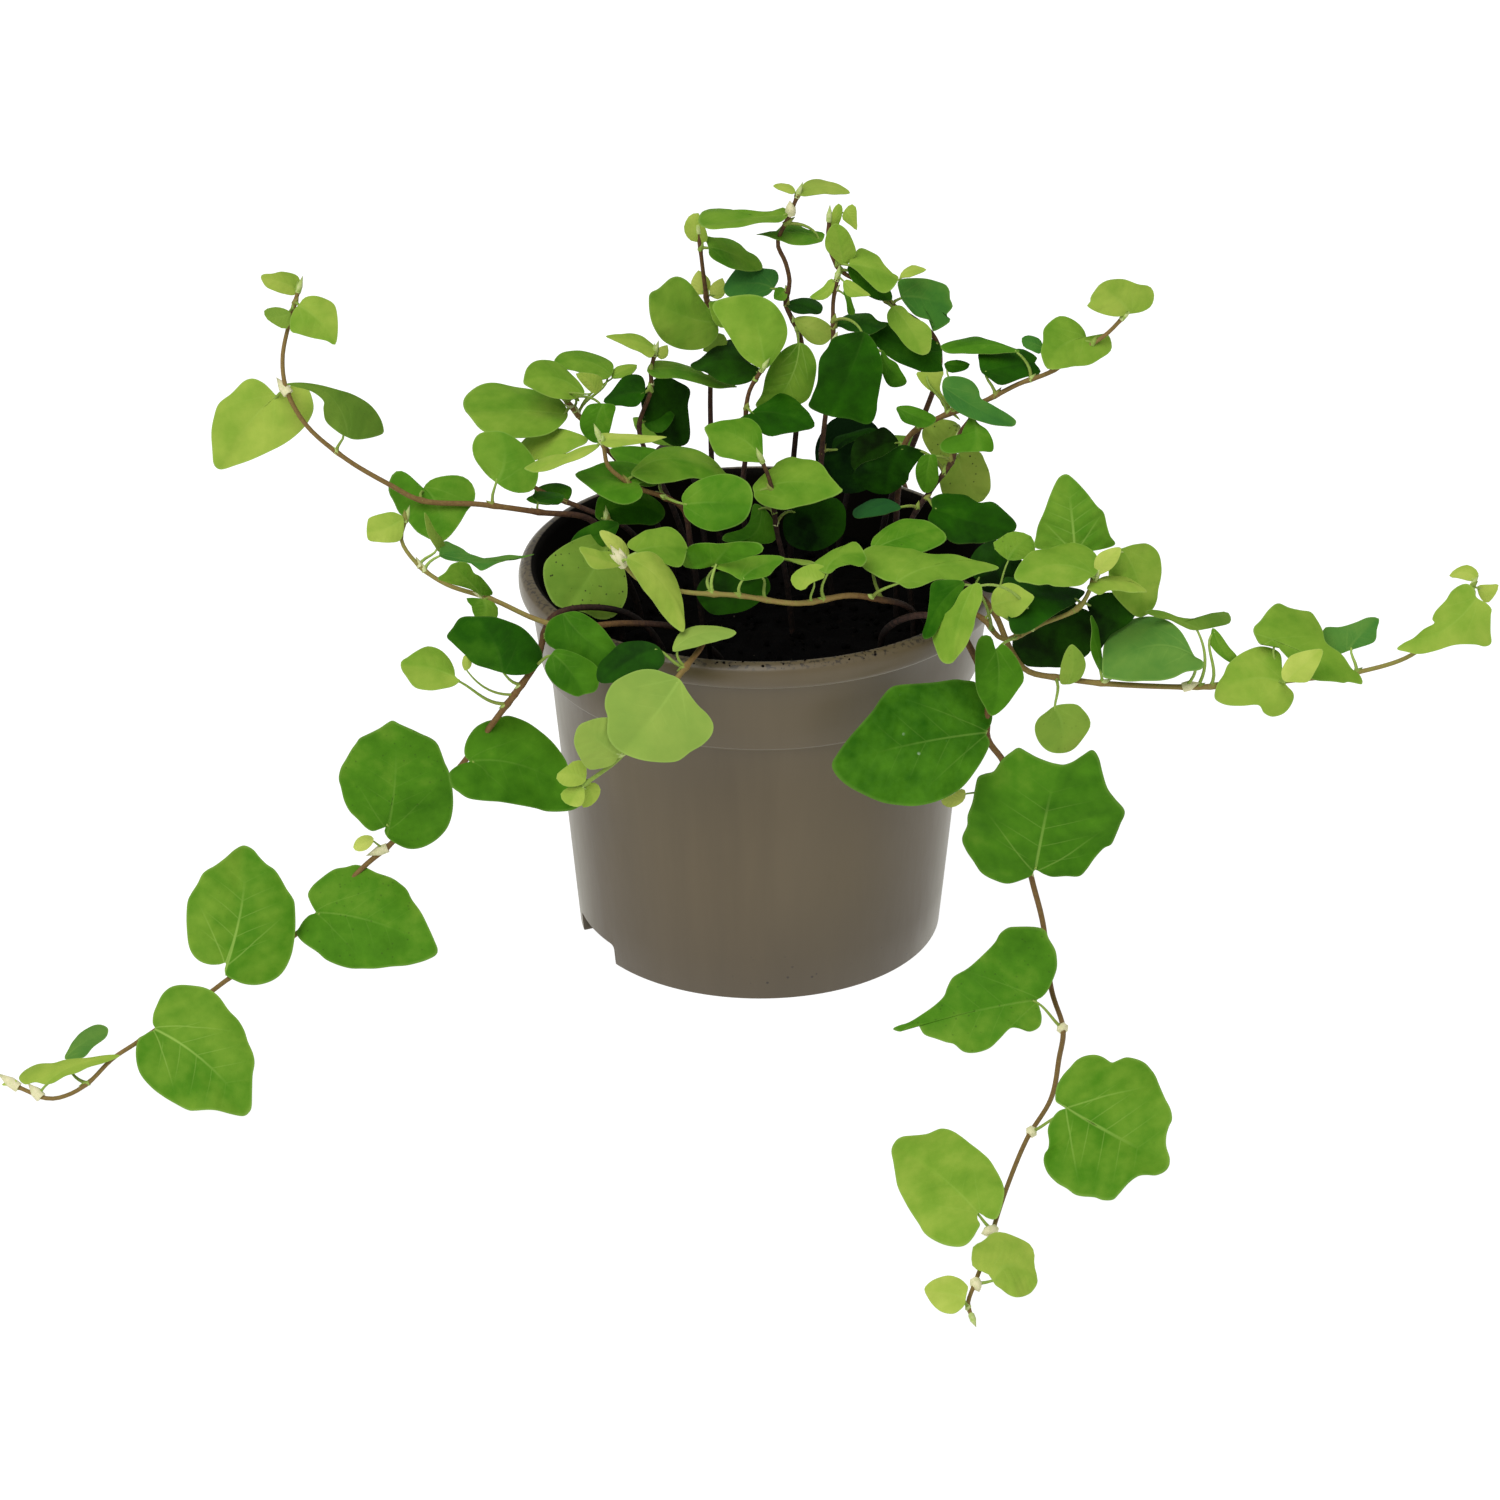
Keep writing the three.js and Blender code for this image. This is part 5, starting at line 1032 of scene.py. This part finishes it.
            (38, -13.9), (33, -13), (28, -10.8), (24, -8.5), (21.5, -6)]]),
        (54.5, -11, -58, 48.2, -12.8, -59, 3.5, 0, 0.3, "plain", [
            [(53.6, -9.7), (51, -11.3)], [(53.8, -13), (51.5, -14.4), (49.5, -14.3)]]),
        (72, -30.6, -57, 78, -3, -64, 37.5, 0, 3.2, "veined", [
            [(71, -32), (69, -33), (65, -34.1), (61.5, -33), (58.5, -31), (56.5, -28), (54.5, -25.2),
            (53.5, -22.5), (54.8, -19), (55, -16), (56.2, -12.5), (56.8, -9.5), (57.5, -7), (59.3, -6.3),
            (61.5, -5.8), (63.5, -3), (66, -1), (67.8, 0), (70, -1), (73, -2.2)], [(74.2, -31.7),
            (76.5, -32.2), (80, -31.4), (83.3, -30.9), (85.3, -29), (87, -27), (89.3, -25), (91.2, -24.2),
            (92.3, -22), (93.5, -19), (94.6, -15.8), (92.2, -12.5), (90.3, -9.5), (89, -5.5), (88, -2),
            (86.4, 0), (84, -1), (81, -2.5)]]),
        (72.5, -63, -72, 36, -70.5, -81, 29, 15, 3, "spotted", [
            [(73.5, -62.5), (75, -61), (76.5, -58), (77.5, -55), (77.5, -52), (77, -50), (75.5, -47.5),
            (74.5, -45.5), (72, -44.7), (67, -44.7), (65, -45), (63, -46.5), (61.5, -49), (58, -52.5),
            (55, -55), (51.5, -57), (50, -59.5), (49, -62), (46.5, -64.5), (43, -67), (40, -68.8),
            (37.5, -69.6)], [(73.2, -64.8), (73.7, -67.5), (73, -70), (70.5, -71.3), (67.5, -70.4),
            (65.5, -70.5), (63, -73), (60.5, -75.2), (57, -76.2), (54, -76), (51.5, -74.3), (49.5, -73.9),
            (47, -73), (44, -71.8), (42.5, -69.6), (41, -69.4), (39.3, -70.2), (38, -71.2)]]),
        (80.3, -90.6, -126, 105.9, -103, -143, 38.5, 24, 2.7, "veined", [
            [(78.5, -89.7), (77.2, -88.8), (77.3, -86), (78, -84), (79.3, -82), (80.8, -80.3),
            (82.5, -78.3), (84.5, -77.2), (87, -76.9), (89, -77.5), (90.5, -78.5), (91.5, -79), (93, -78.3),
            (95, -77.4), (97.5, -77.6), (99.5, -78.4), (101, -80), (102.3, -82), (103.5, -85), (105, -88.5),
            (106.3, -91), (106.7, -93.5), (105.9, -95.3), (105.2, -97.5), (105.1, -100)], [(78, -91.5),
            (76, -93.5), (75, -95.5), (75.2, -98), (75, -100), (74.2, -101.5), (74.1, -104), (75.2, -107),
            (77.5, -109.5), (80, -111), (82, -112.5), (84, -113), (87, -113), (89, -113.5), (91.5, -113.3),
            (93, -112), (95.5, -109.5), (98, -107.7), (100, -107.2), (102.5, -107), (105, -105.5)]]),
        (57.6, -117, -168, 37, -98.7, -144, 23, 15, 2, "plain", [
            [(58.5, -117.2), (60, -118), (62, -118), (63.3, -115.5), (64.2, -112), (64, -110), (63.2, -108),
            (62, -105.8), (60.5, -103.5), (58.5, -101.7), (56, -99.8), (54, -98.2), (52, -96.8),
            (50, -95.8), (48, -95.4), (46.3, -95.8), (44.5, -96.4), (41, -97), (38.5, -97.6)],
            [(57.5, -118.5), (58.2, -120), (57.5, -121.5), (56.5, -123.3), (55, -125), (53, -125.7),
            (50, -125.2), (47, -123.8), (44, -121.8), (42.5, -119.5), (40.5, -116.5), (38.8, -113.5),
            (37.3, -110.3), (36.7, -107), (36.2, -104), (35.8, -101.8), (36.1, -100.2)]]),
        (61.2, -133.8, -191, 72.5, -134, -188, 16, 20, 1.5, "plain", [
            [(60, -132.2), (57.5, -131.3), (56, -130), (55.8, -127.5), (56.3, -125.3), (59, -123.8),
            (61, -122), (63, -121.6), (65, -122), (68, -123.3), (70.5, -124.8), (71.7, -127), (71.8, -130)],
            [(62, -135), (63.3, -136), (65, -137.2), (67, -138.3), (69.5, -137.8), (71.5, -136.5)]]),
        (54.5, -138.5, -199, 44, -136, -195, 9.5, 30, 0.8, "plain", [
            [(55, -136), (54.8, -135), (53, -133.5), (50.5, -132.8), (48, -133), (45.5, -134.3)],
            [(54.3, -139.7), (53.5, -141), (51.5, -142.3), (49, -142), (46.5, -140.5), (45, -138.5)]]),
    ]),
    ("back_left", (-14, 36), "dark", [
        (-15, 71, 46), (-19, 76, 55), (-23, 76, 63), (-26, 68, 68), (-28, 58, 71), (-30, 49, 74),
    ], [
        (-21, 68, 75, -11, 56, 85, 19, 180, 3.2, "plain", "heart"),
        (-29, 58, 79, -42, 47, 86, 17, 180, 3.2, "plain", "round"),
        (-30, 48, 77, -24, 36, 85, 18, 180, 3.2, "plain", "heart"),
        (-17, 77, 52, -29, 85, 60, 15, 60, 2.7, "plain", "oval"),
    ]),
    ("back_right", (20, 34), "dark", [
        (26, 69, 42), (31, 74, 50), (35, 74, 57), (39, 67, 62), (41, 58, 65), (44, 48, 68),
    ], [
        (36, 64, 69, 26, 53, 76, 18, 180, 3.2, "plain", "round"),
        (45, 55, 73, 56, 45, 79, 17, 180, 3.2, "plain", "heart"),
        (44, 47, 71, 37, 35, 79, 17, 180, 3.2, "plain", "heart"),
        (30, 75, 46, 41, 80, 52, 14, 60, 2.7, "plain", "oval"),
    ]),
]


# Where the papery sheaths have stayed large, as across and rise
large_sheaths = [
    (-120, 91), (75, -63), (76, -89), (61, -119), (59, -135), (-95, -21), (108, 17), (155, 20), (-181, -85),
    (8, 134), (116, 25), (-30, 47),
]
large_sheath_reach = 5


def spot(across, rise, away):
    """A point noted as across, rise and away, in the pot's own x, y and z in mm."""
    sight = sight_aim + sight_up * rise + Vector((across, 0, 0)) - sight_eye
    return sight_eye + sight * ((away - sight_eye.y) / sight.y)


def through(points, spacing):
    """Evenly spaced places on a smooth centripetal curve through the points."""
    ends = [points[0] * 2 - points[1], *points, points[-1] * 2 - points[-2]]
    fine = []
    for a, b, c, d in zip(ends, ends[1:], ends[2:], ends[3:]):
        t1 = math.sqrt((b - a).length)
        t2 = t1 + math.sqrt((c - b).length)
        t3 = t2 + math.sqrt((d - c).length)
        for i in range(12):
            t = t1 + (t2 - t1) * i / 12
            ab, bc, cd = a.lerp(b, t / t1), b.lerp(c, (t - t1) / (t2 - t1)), c.lerp(d, (t - t2) / (t3 - t2))
            abc, bcd = ab.lerp(bc, t / t2), bc.lerp(cd, (t - t1) / (t3 - t1))
            fine.append(abc.lerp(bcd, (t - t1) / (t2 - t1)))
    fine.append(points[-1])
    run = [0]
    for a, b in zip(fine, fine[1:]):
        run.append(run[-1] + (b - a).length)
    steps = max(2, round(run[-1] / spacing))
    wanted = np.linspace(0, run[-1], steps + 1)
    return [Vector(p) for p in np.stack([np.interp(wanted, run, [f[k] for f in fine]) for k in range(3)], 1)]


def strand(name, places, radii, sides, skins):
    """A round strand along the places, in mm, closed at both ends; skins run from its foot to its tip."""
    line = bpy.data.curves.new(name, "CURVE")
    line.dimensions = "3D"
    line.bevel_depth = mm
    line.bevel_resolution = sides // 2 - 2
    line.use_fill_caps = True
    run = line.splines.new("POLY")
    run.points.add(len(places) - 1)
    for point, place, radius in zip(run.points, places, radii):
        point.co = (*(place * mm), 1)
        point.radius = radius
    made = bpy.data.objects.new(name, line)
    bpy.context.collection.objects.link(made)
    bpy.ops.object.select_all(action="DESELECT")
    made.select_set(True)
    bpy.context.view_layer.objects.active = made
    bpy.ops.object.convert(target="MESH")
    made = bpy.context.object
    centres = np.array(places)
    nearest = np.argmin(((corners_of(made.data)[:, None] / mm - centres[None]) ** 2).sum(2), axis=1)
    mark(made.data, "skin", np.interp(nearest, np.linspace(0, len(places) - 1, len(skins)), skins))
    made.data.shade_smooth()
    return made


def edge_run(points, before, after):
    """A dense smooth run through the points of one edge, given the points just before and after it."""
    ends = [before, *points, after]
    run = []
    for a, b, c, d in zip(ends, ends[1:], ends[2:], ends[3:]):
        for i in range(8):
            t = i / 8
            run.append([0.5 * (2 * q + (r - p) * t + (2 * p - 5 * q + 4 * r - s) * t ** 2
                               + (3 * q - p - 3 * r + s) * t ** 3) for p, q, r, s in zip(a, b, c, d)])
    run.append(points[-1])
    return np.array(run)


def blade_model(sectors, rows):
    """A flat fan of triangles with a little thickness, each corner marked with its place on a blade."""
    bpy.ops.mesh.primitive_circle_add(vertices=sectors, radius=1, fill_type="TRIFAN")
    model = bpy.context.object
    bpy.ops.object.mode_set(mode="EDIT")
    bpy.ops.mesh.select_all(action="SELECT")
    bpy.ops.mesh.subdivide(number_cuts=rows - 1)
    bpy.ops.object.mode_set(mode="OBJECT")
    disc = corners_of(model.data)
    bearing = np.arctan2(disc[:, 1], disc[:, 0])
    half_sector = math.pi / sectors
    chord = math.cos(half_sector) / np.cos(bearing % (2 * half_sector) - half_sector)
    mark(model.data, "reach", np.hypot(disc[:, 0], disc[:, 1]) / chord)
    mark(model.data, "bearing", bearing)
    apply_modifier(model, "SOLIDIFY", thickness=0.1, offset=0)
    bpy.ops.object.select_all(action="DESELECT")
    model.select_set(True)
    bpy.context.view_layer.objects.active = model
    bpy.ops.object.mode_set(mode="EDIT")
    bpy.ops.mesh.select_all(action="SELECT")
    bpy.ops.mesh.normals_make_consistent(inside=False)
    bpy.ops.object.mode_set(mode="OBJECT")
    bpy.ops.object.shade_smooth_by_angle(angle=math.radians(50))
    return model


blade_models = {floor: blade_model(sectors, rows) for floor, sectors, rows in blade_grains}


def relief(x, y, length, width):
    """How far a blade stands out of its own plane: folded up at the midrib, tip and edges bent down."""
    droop = leaf_droop * length * (x / length) ** 2
    curl = leaf_curl * width * (2 * y / width) ** 2
    return leaf_fold * abs(y) - droop - curl


def on_blade(seen, notch, along, across, out, length, width):
    """Where the line of sight through a point noted as across and rise meets a blade: along it and aside."""
    sight = sight_aim + sight_up * seen[1] + Vector((seen[0], 0, 0)) - sight_eye
    lift = 0
    for _ in range(5):
        place = sight_eye + sight * (((notch - sight_eye).dot(out) + lift) / sight.dot(out)) - notch
        x, y = place.dot(along), max(-width, min(width, place.dot(across)))
        lift = relief(x, y, length, width)
    return x, y


def laid_blade(notch, tip, tip_seen, width, turn, tone, look, form, rng):
    """A blade laid from notch to tip and turned about its midrib, with a named or its own outline."""
    along = tip - notch
    length = along.length
    along.normalize()
    facing = (sight_back - along * sight_back.dot(along)).normalized()
    aside = along.cross(facing)
    if aside.z + right_share * aside.x < 0:
        aside = -aside
    angle = math.radians(turn)
    out = facing * math.cos(angle) + aside * math.sin(angle)
    across = out.cross(along)
    if isinstance(form, str):
        upper = [(x * length, y * width) for x, y in blade_forms[form]]
        lower, end = [(x, -y) for x, y in upper], (length, 0)
    else:
        laid = (notch, along, across, out, length, width)
        end = on_blade(tip_seen, *laid)
        upper, lower = ([on_blade(seen, *laid) for seen in side] for side in form)
        if sum(y for _, y in upper) / len(upper) < sum(y for _, y in lower) / len(lower):
            upper, lower = lower, upper
    edges = [edge_run([(0, 0), *side, end], other[0], other[-1])
             for side, other in ((upper, lower), (lower, upper))]
    # The midrib is bowed so that halfway along it runs midway between the edges
    bow = 0.5 * sum(edge[np.flatnonzero(edge[:, 0] < 0.5 * length)[-1], 1] for edge in edges)

    model = blade_models[next(floor for floor, _, _ in blade_grains if length >= floor)]
    leaf = model.copy()
    leaf.data = model.data.copy()
    bpy.context.collection.objects.link(leaf)
    under = corners_of(leaf.data)[:, 2] < 0
    reach, bearing = np.empty((2, len(under)))
    leaf.data.attributes["reach"].data.foreach_get("value", reach)
    leaf.data.attributes["bearing"].data.foreach_get("value", bearing)
    edge_x, edge_y = np.empty((2, len(under)))
    for edge, here in zip(edges, (bearing >= 0, bearing < 0)):
        run = np.concatenate([[0], np.cumsum(np.hypot(*np.diff(edge, axis=0).T))])
        wanted = (1 - np.abs(bearing[here]) / math.pi) * run[-1]
        edge_x[here] = np.interp(wanted, run, edge[:, 0])
        edge_y[here] = np.interp(wanted, run, edge[:, 1])
    rib_end = np.clip(edge_x / length, 0, 1)
    rib = hub_share + reach * (rib_end - hub_share)
    x = hub_share * length + reach * (edge_x - hub_share * length)
    off_rib = reach * (edge_y - bow * 4 * rib_end * (1 - rib_end))
    y = off_rib + bow * 4 * rib * (1 - rib)
    wave = sum(size * np.sin(count * bearing + rng.uniform(0, 6.3)) for count, size in edge_waves)
    lift = relief(x, y, length, width) + edge_wave * width * math.cos(angle) * wave * reach ** 3
    lift += np.where(under, -0.5, 0.5) * blade_thickness * (1 - 0.5 * reach ** 4)
    places = np.array(notch) + np.outer(x, along) + np.outer(y, across) + np.outer(lift, out)
    leaf.data.vertices.foreach_set("co", (places * mm).ravel())
    shares = leaf.data.uv_layers.new(name="blade")
    corner_of = np.empty(len(leaf.data.loops), dtype=int)
    leaf.data.loops.foreach_get("vertex_index", corner_of)
    shares.data.foreach_set("uv", np.stack([x / length, off_rib / width], 1)[corner_of].ravel())
    tint, specks, wet, veins = leaf_looks[look]
    everywhere = np.ones(len(under))
    mark(leaf.data, "tone", everywhere * (tone + rng.uniform(-tone_scatter, tone_scatter)))
    mark(leaf.data, "tint", everywhere * (tint + rng.uniform(-tint_scatter, tint_scatter)))
    mark(leaf.data, "specks", everywhere * specks)
    mark(leaf.data, "wet", everywhere * wet)
    mark(leaf.data, "veins", everywhere * veins)
    mark(leaf.data, "size", everywhere * length)
    mark(leaf.data, "under", np.where(under, 1.0, 1.0 if look == "under" else 0.0))
    return leaf, along, out


def bowed(foot, tip, lean, arrive):
    """A stalk's line: it leaves along the lean and reaches the blade along the midrib."""
    run = tip - foot
    (leaving, near_share), (arriving, far_share) = stalk_leaving, stalk_arriving
    near = foot + (run.normalized() + lean * leaving).normalized() * run.length * near_share
    far = tip - (run.normalized() + arrive * arriving).normalized() * run.length * far_share
    fewest, most = stalk_steps
    steps = max(fewest, min(most, round(run.length / stalk_spacing)))
    places = []
    for i in range(steps + 1):
        t = i / steps
        left = 1 - t
        places.append(foot * left ** 3 + near * 3 * t * left ** 2 + far * 3 * t * t * left + tip * t ** 3)
    return places


# A sheath is a small papery cone that wraps the foot of a stalk or the bud at a stem's tip
bpy.ops.mesh.primitive_cone_add(vertices=6, radius1=0.5, radius2=0, depth=1, location=(0, 0, 0.5))
sheath_model = bpy.context.object
bpy.ops.object.transform_apply(location=True, rotation=True, scale=True)
bpy.ops.object.mode_set(mode="EDIT")
bpy.ops.mesh.select_all(action="SELECT")
belly = (0, 0, sheath_belly_height)
bpy.ops.mesh.bisect(plane_co=belly, plane_no=(0, 0, 1))
bpy.ops.transform.resize(value=(sheath_belly, sheath_belly, 1), center_override=belly)
bpy.ops.object.mode_set(mode="OBJECT")
bpy.ops.object.shade_smooth_by_angle(angle=math.radians(60))


def sheath(foot, direction, width, length, skin):
    made = sheath_model.copy()
    made.data = sheath_model.data.copy()
    bpy.context.collection.objects.link(made)
    made.rotation_mode = "QUATERNION"
    made.rotation_quaternion = direction.to_track_quat("Z", "Y")
    made.scale = (width * mm, width * mm, length * mm)
    made.location = foot * mm
    mark(made.data, "skin", np.full(len(made.data.vertices), skin))
    return made


# Bark, stalk and sheath: near black at 0, painted shade low in the plant, then brown and ridged on old wood,
# through tan to green, and papery cream at 1
stem_skin, start = new_finish("stem_skin")
place = in_mm(start)
skin_age = start.carried("skin")
fleck = clouds(place, 0.9, 3, 0.6)
ridge = clouds(place, 0.35, 2)
hue = start.node("ShaderNodeValToRGB", {"stops": [
    (0.0, colour(20, 14, 11)), (0.12, colour(62, 42, 34)), (0.26, colour(104, 76, 44)),
    (0.45, colour(132, 112, 62)), (0.68, colour(124, 150, 62)), (0.8, colour(150, 176, 84)),
    (1.0, colour(214, 208, 168))]}, {0: skin_age + (fleck - 0.5) * 0.22})
rind = start.node("ShaderNodeBump", {}, {
    "Strength": 0.6, "Distance": 0.15 * mm, "Height": ridge + fleck})
shade = start.node("ShaderNodeBsdfPrincipled", {}, {
    "Base Color": hue, "Roughness": 0.72 - skin_age * 0.2, "Specular IOR Level": 0.15, "Normal": rind})
start.node("ShaderNodeOutputMaterial", {}, {"Surface": shade})

# The blade: matt green by tone, which holds painted shade, with a pale midrib and side veins,
# puckers between them, specks, painted glints of drops, and painted shade on one half of a folded blade
blade_skin, start = new_finish("blade_skin")
place = in_mm(start)
shares = start.node("ShaderNodeUVMap", {"uv_map": "blade"}, {})
along = start.node("ShaderNodeSeparateXYZ", {}, {"Vector": shares}, "X")
sideways = start.node("ShaderNodeSeparateXYZ", {}, {"Vector": shares}, "Y")
aside = start.sum("ABSOLUTE", sideways)
rim = start.carried("reach").ramp(0.95, 1)
tone, tint, specks, wet, veins, size, under = (
    start.carried(name) for name in ("tone", "tint", "specks", "wet", "veins", "size", "under"))
side_step = 0.155
side_run = (along - aside * 0.66 + aside ** 2 * 0.3 - 0.07) / side_step
side_gap = start.sum("PINGPONG", side_run, 0.5) * side_step * size
side_vein = side_gap.ramp(0.22, 0.05) * along.ramp(0.08, 0.16) * aside.ramp(0.36, 0.08)
side_vein = side_vein * along.ramp(0.9, 0.4)
base_gap = start.sum("ABSOLUTE", aside - start.sum("MAXIMUM", along + 0.02, 0.0) * 0.8) * size * 0.75
base_vein = base_gap.ramp(0.26, 0.07) * along.ramp(0.5, 0.12)
midrib = (aside * size * 0.85).ramp(0.38, 0.1) * along.ramp(0.8, 0.15)
vein = start.sum("MAXIMUM", start.sum("MAXIMUM", side_vein * 0.4, base_vein * 0.6), midrib)
pucker = (side_gap / size).ramp(0.0, 0.075) * aside.ramp(0.0, 0.14) * aside.ramp(0.5, 0.3)
patch = clouds(place, 7, 2)
blotch = clouds(place, 1.6, 3, 0.6)
# Painted shade: one half of a folded blade is made a little darker than the other.
painted_fold_shade = sideways.ramp(0.05, -0.05) - 0.5
depth = tone / 5 + (patch - 0.5) * 0.3 + (blotch - 0.5) * 0.08 + painted_fold_shade * 0.05 - pucker * veins * 0.05
green = start.node("ShaderNodeValToRGB", {"stops": [
    (0.0, colour(182, 193, 94)), (0.2, colour(150, 171, 68)), (0.4, colour(114, 149, 46)),
    (0.6, colour(70, 120, 21)), (0.8, colour(32, 80, 1)), (1.0, colour(5, 26, 0))]}, {0: depth})
green = start.mixed(tint.ramp(0, -1) * 0.4, green, colour(116, 134, 60))
green = start.mixed(tint.ramp(0, 1) * 0.45, green, colour(48, 106, 62))
green = start.mixed(under * 0.35, green, colour(140, 164, 84))
green = start.mixed(vein * veins * tone.ramp(4.6, 2.6), green, colour(164, 194, 96))
green = start.mixed(rim * tone.ramp(4.8, 2) * 0.3, green, colour(150, 178, 92))
green = start.mixed(spots(place, 1.5, 0.3) * blotch.ramp(0.42, 0.55) * specks, green, colour(40, 38, 22))
# Painted glints: on wet leaves a few near-white spots stand for light caught by drops.
painted_glints = spots(place, 5, 0.55) * clouds(place, 12).ramp(0.5, 0.6) * wet
blister = start.node("ShaderNodeTexVoronoi", {"feature": "SMOOTH_F1"}, {
    "Vector": place, "Scale": 0.55, "Smoothness": 0.6})
swell = (pucker * 0.6 - vein * 0.3) * veins + patch * 0.7 + blotch * 0.1 + blister * wet * 0.8
dents = start.node("ShaderNodeBump", {}, {"Strength": 0.5, "Distance": 0.9 * mm, "Height": swell})
shade = start.node("ShaderNodeBsdfPrincipled", {}, {
    "Base Color": start.mixed(painted_glints * 0.8, green, colour(206, 222, 200)),
    "Roughness": 0.55 + blotch * 0.1, "Specular IOR Level": 0.04, "Normal": dents})
start.node("ShaderNodeOutputMaterial", {}, {"Surface": shade})

for name, root, bark, route, leaves in leafy_stems:
    rng = random.Random(name)
    rise = [Vector((*root, soil_level - root_depth)), Vector((*root, soil_level + straight_rise))]
    line = rise + [spot(*place) for place in route]
    places = through(line, stem_spacing)
    notches = [spot(*leaf[0:3]) for leaf in leaves]
    feet = [min(range(len(places)), key=lambda i: (places[i] - notch).length) for notch in notches]
    shares = np.linspace(0, 1, len(places))
    radii = stem_base_radius + (stem_tip_radius - stem_base_radius) * shares
    for foot in feet:
        off = (np.arange(len(places)) - foot) * stem_spacing / knot_length
        radii = radii * (1 + knot_swell * np.exp(-(off ** 2)))
    radii = np.minimum(radii, stem_radius_limit)
    stem_skin_at = np.interp(shares, [0, 1], barks[bark])
    # Painted shade: near the soil the stem's skin is taken down to near black.
    stem_skin_at *= np.interp(np.arange(len(places)) * stem_spacing, shaded_run, [0, 1])
    stem = strand("leafy_stem_" + name, places, radii, stem_sides, stem_skin_at)
    wood, blades = [], []
    for leaf, notch, foot in zip(leaves, notches, feet):
        tip = spot(*leaf[3:6])
        blade, along, out = laid_blade(notch, tip, leaf[3:5], *leaf[6:], rng)
        blades.append(blade)
        length = (tip - notch).length
        growth = (places[min(foot + 1, len(places) - 1)] - places[max(foot - 1, 0)]).normalized()
        end = notch + along * min(stalk_run_in, 0.2 * length) - out * 0.1
        path = bowed(places[foot], end, growth, along)
        thin = small_leaf_scale if length < small_leaf else 1
        stalk_radii = np.linspace(stalk_foot_radius, stalk_tip_radius, len(path)) * thin
        stalk_skin = np.clip(stem_skin_at[foot] + 0.3, *stalk_skin_range)
        skins = (stem_skin_at[foot] * 0.25 + stalk_skin * 0.75, stalk_skin)
        wood.append(strand("stalk", path, stalk_radii, stalk_sides, skins))
        outward = (end - places[foot]).normalized()
        wrap = (growth + outward * 0.5).normalized()
        large = any(math.hypot(leaf[0] - a, leaf[1] - b) < large_sheath_reach for a, b in large_sheaths)
        grown = large_sheath_scale if large else thin
        sheath_length = rng.uniform(*sheath_lengths) * grown
        papery = 0.98 if large else rng.uniform(0.5, 0.95)
        wood.append(sheath(places[foot] - wrap * 0.4, wrap, sheath_width * grown, sheath_length, papery))
    growth = (places[-1] - places[-3]).normalized()
    wood.append(sheath(places[-1] - growth * 0.6, growth, sheath_width, bud_length, bud_skin))
    for piece in [stem, *wood, *blades]:
        piece.data.materials.append(blade_skin)
        piece.data.materials.append(stem_skin)
    for piece in [stem, *wood]:
        piece.data.polygons.foreach_set("material_index", [1] * len(piece.data.polygons))
    join_all(stem, wood + blades)
    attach(stem, "root")
    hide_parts("shoot_" + name)
for model in [*blade_models.values(), sheath_model]:
    bpy.data.objects.remove(model)

# ---- The floor, the light and the camera
# A white table lit from within under a bright even sky, with one broad soft light high at the front left.
# The camera stands where the plant's points were noted from.
floor_size = 12
floor_level = -0.0002
floor_glow = 0.97
sky_strength = 0.5
lamp_strength = 2.3
lamp_spread = math.radians(50)
lamp_direction = Vector((0.35, 0.6, -1))
lens_length = 142.6
sensor_width = 36

bpy.ops.mesh.primitive_plane_add(size=floor_size, location=(0, 0, floor_level))
floor = bpy.context.object
floor.name = "pale_floor"
pale, start = new_finish("pale_floor")
place = in_mm(start)
shade = start.node("ShaderNodeBsdfPrincipled", {}, {
    "Base Color": start.mixed(clouds(place, 400), (0.16, 0.16, 0.16, 1), (0.18, 0.18, 0.18, 1)),
    "Roughness": 0.9, "Emission Color": (1, 1, 1, 1), "Emission Strength": floor_glow})
start.node("ShaderNodeOutputMaterial", {}, {"Surface": shade})
floor.data.materials.append(pale)

sky = bpy.data.worlds.new("soft_sky")
sky.use_nodes = True
sky.node_tree.nodes["Background"].inputs["Color"].default_value = (1, 1, 1, 1)
sky.node_tree.nodes["Background"].inputs["Strength"].default_value = sky_strength
bpy.context.scene.world = sky
bpy.context.scene.view_settings.view_transform = "Standard"

bpy.ops.object.light_add(type="SUN", location=(0, 0, 1))
lamp = bpy.context.object
lamp.name = "soft_lamp"
lamp.data.energy = lamp_strength
lamp.data.angle = lamp_spread
lamp.rotation_euler = lamp_direction.to_track_quat("-Z", "Y").to_euler()

bpy.ops.object.camera_add(location=sight_eye * mm, rotation=(math.pi / 2 - sight_tilt, 0, 0))
camera = bpy.context.object
camera.data.lens = lens_length
camera.data.sensor_width = sensor_width
camera.data.clip_end = 30
bpy.context.scene.camera = camera
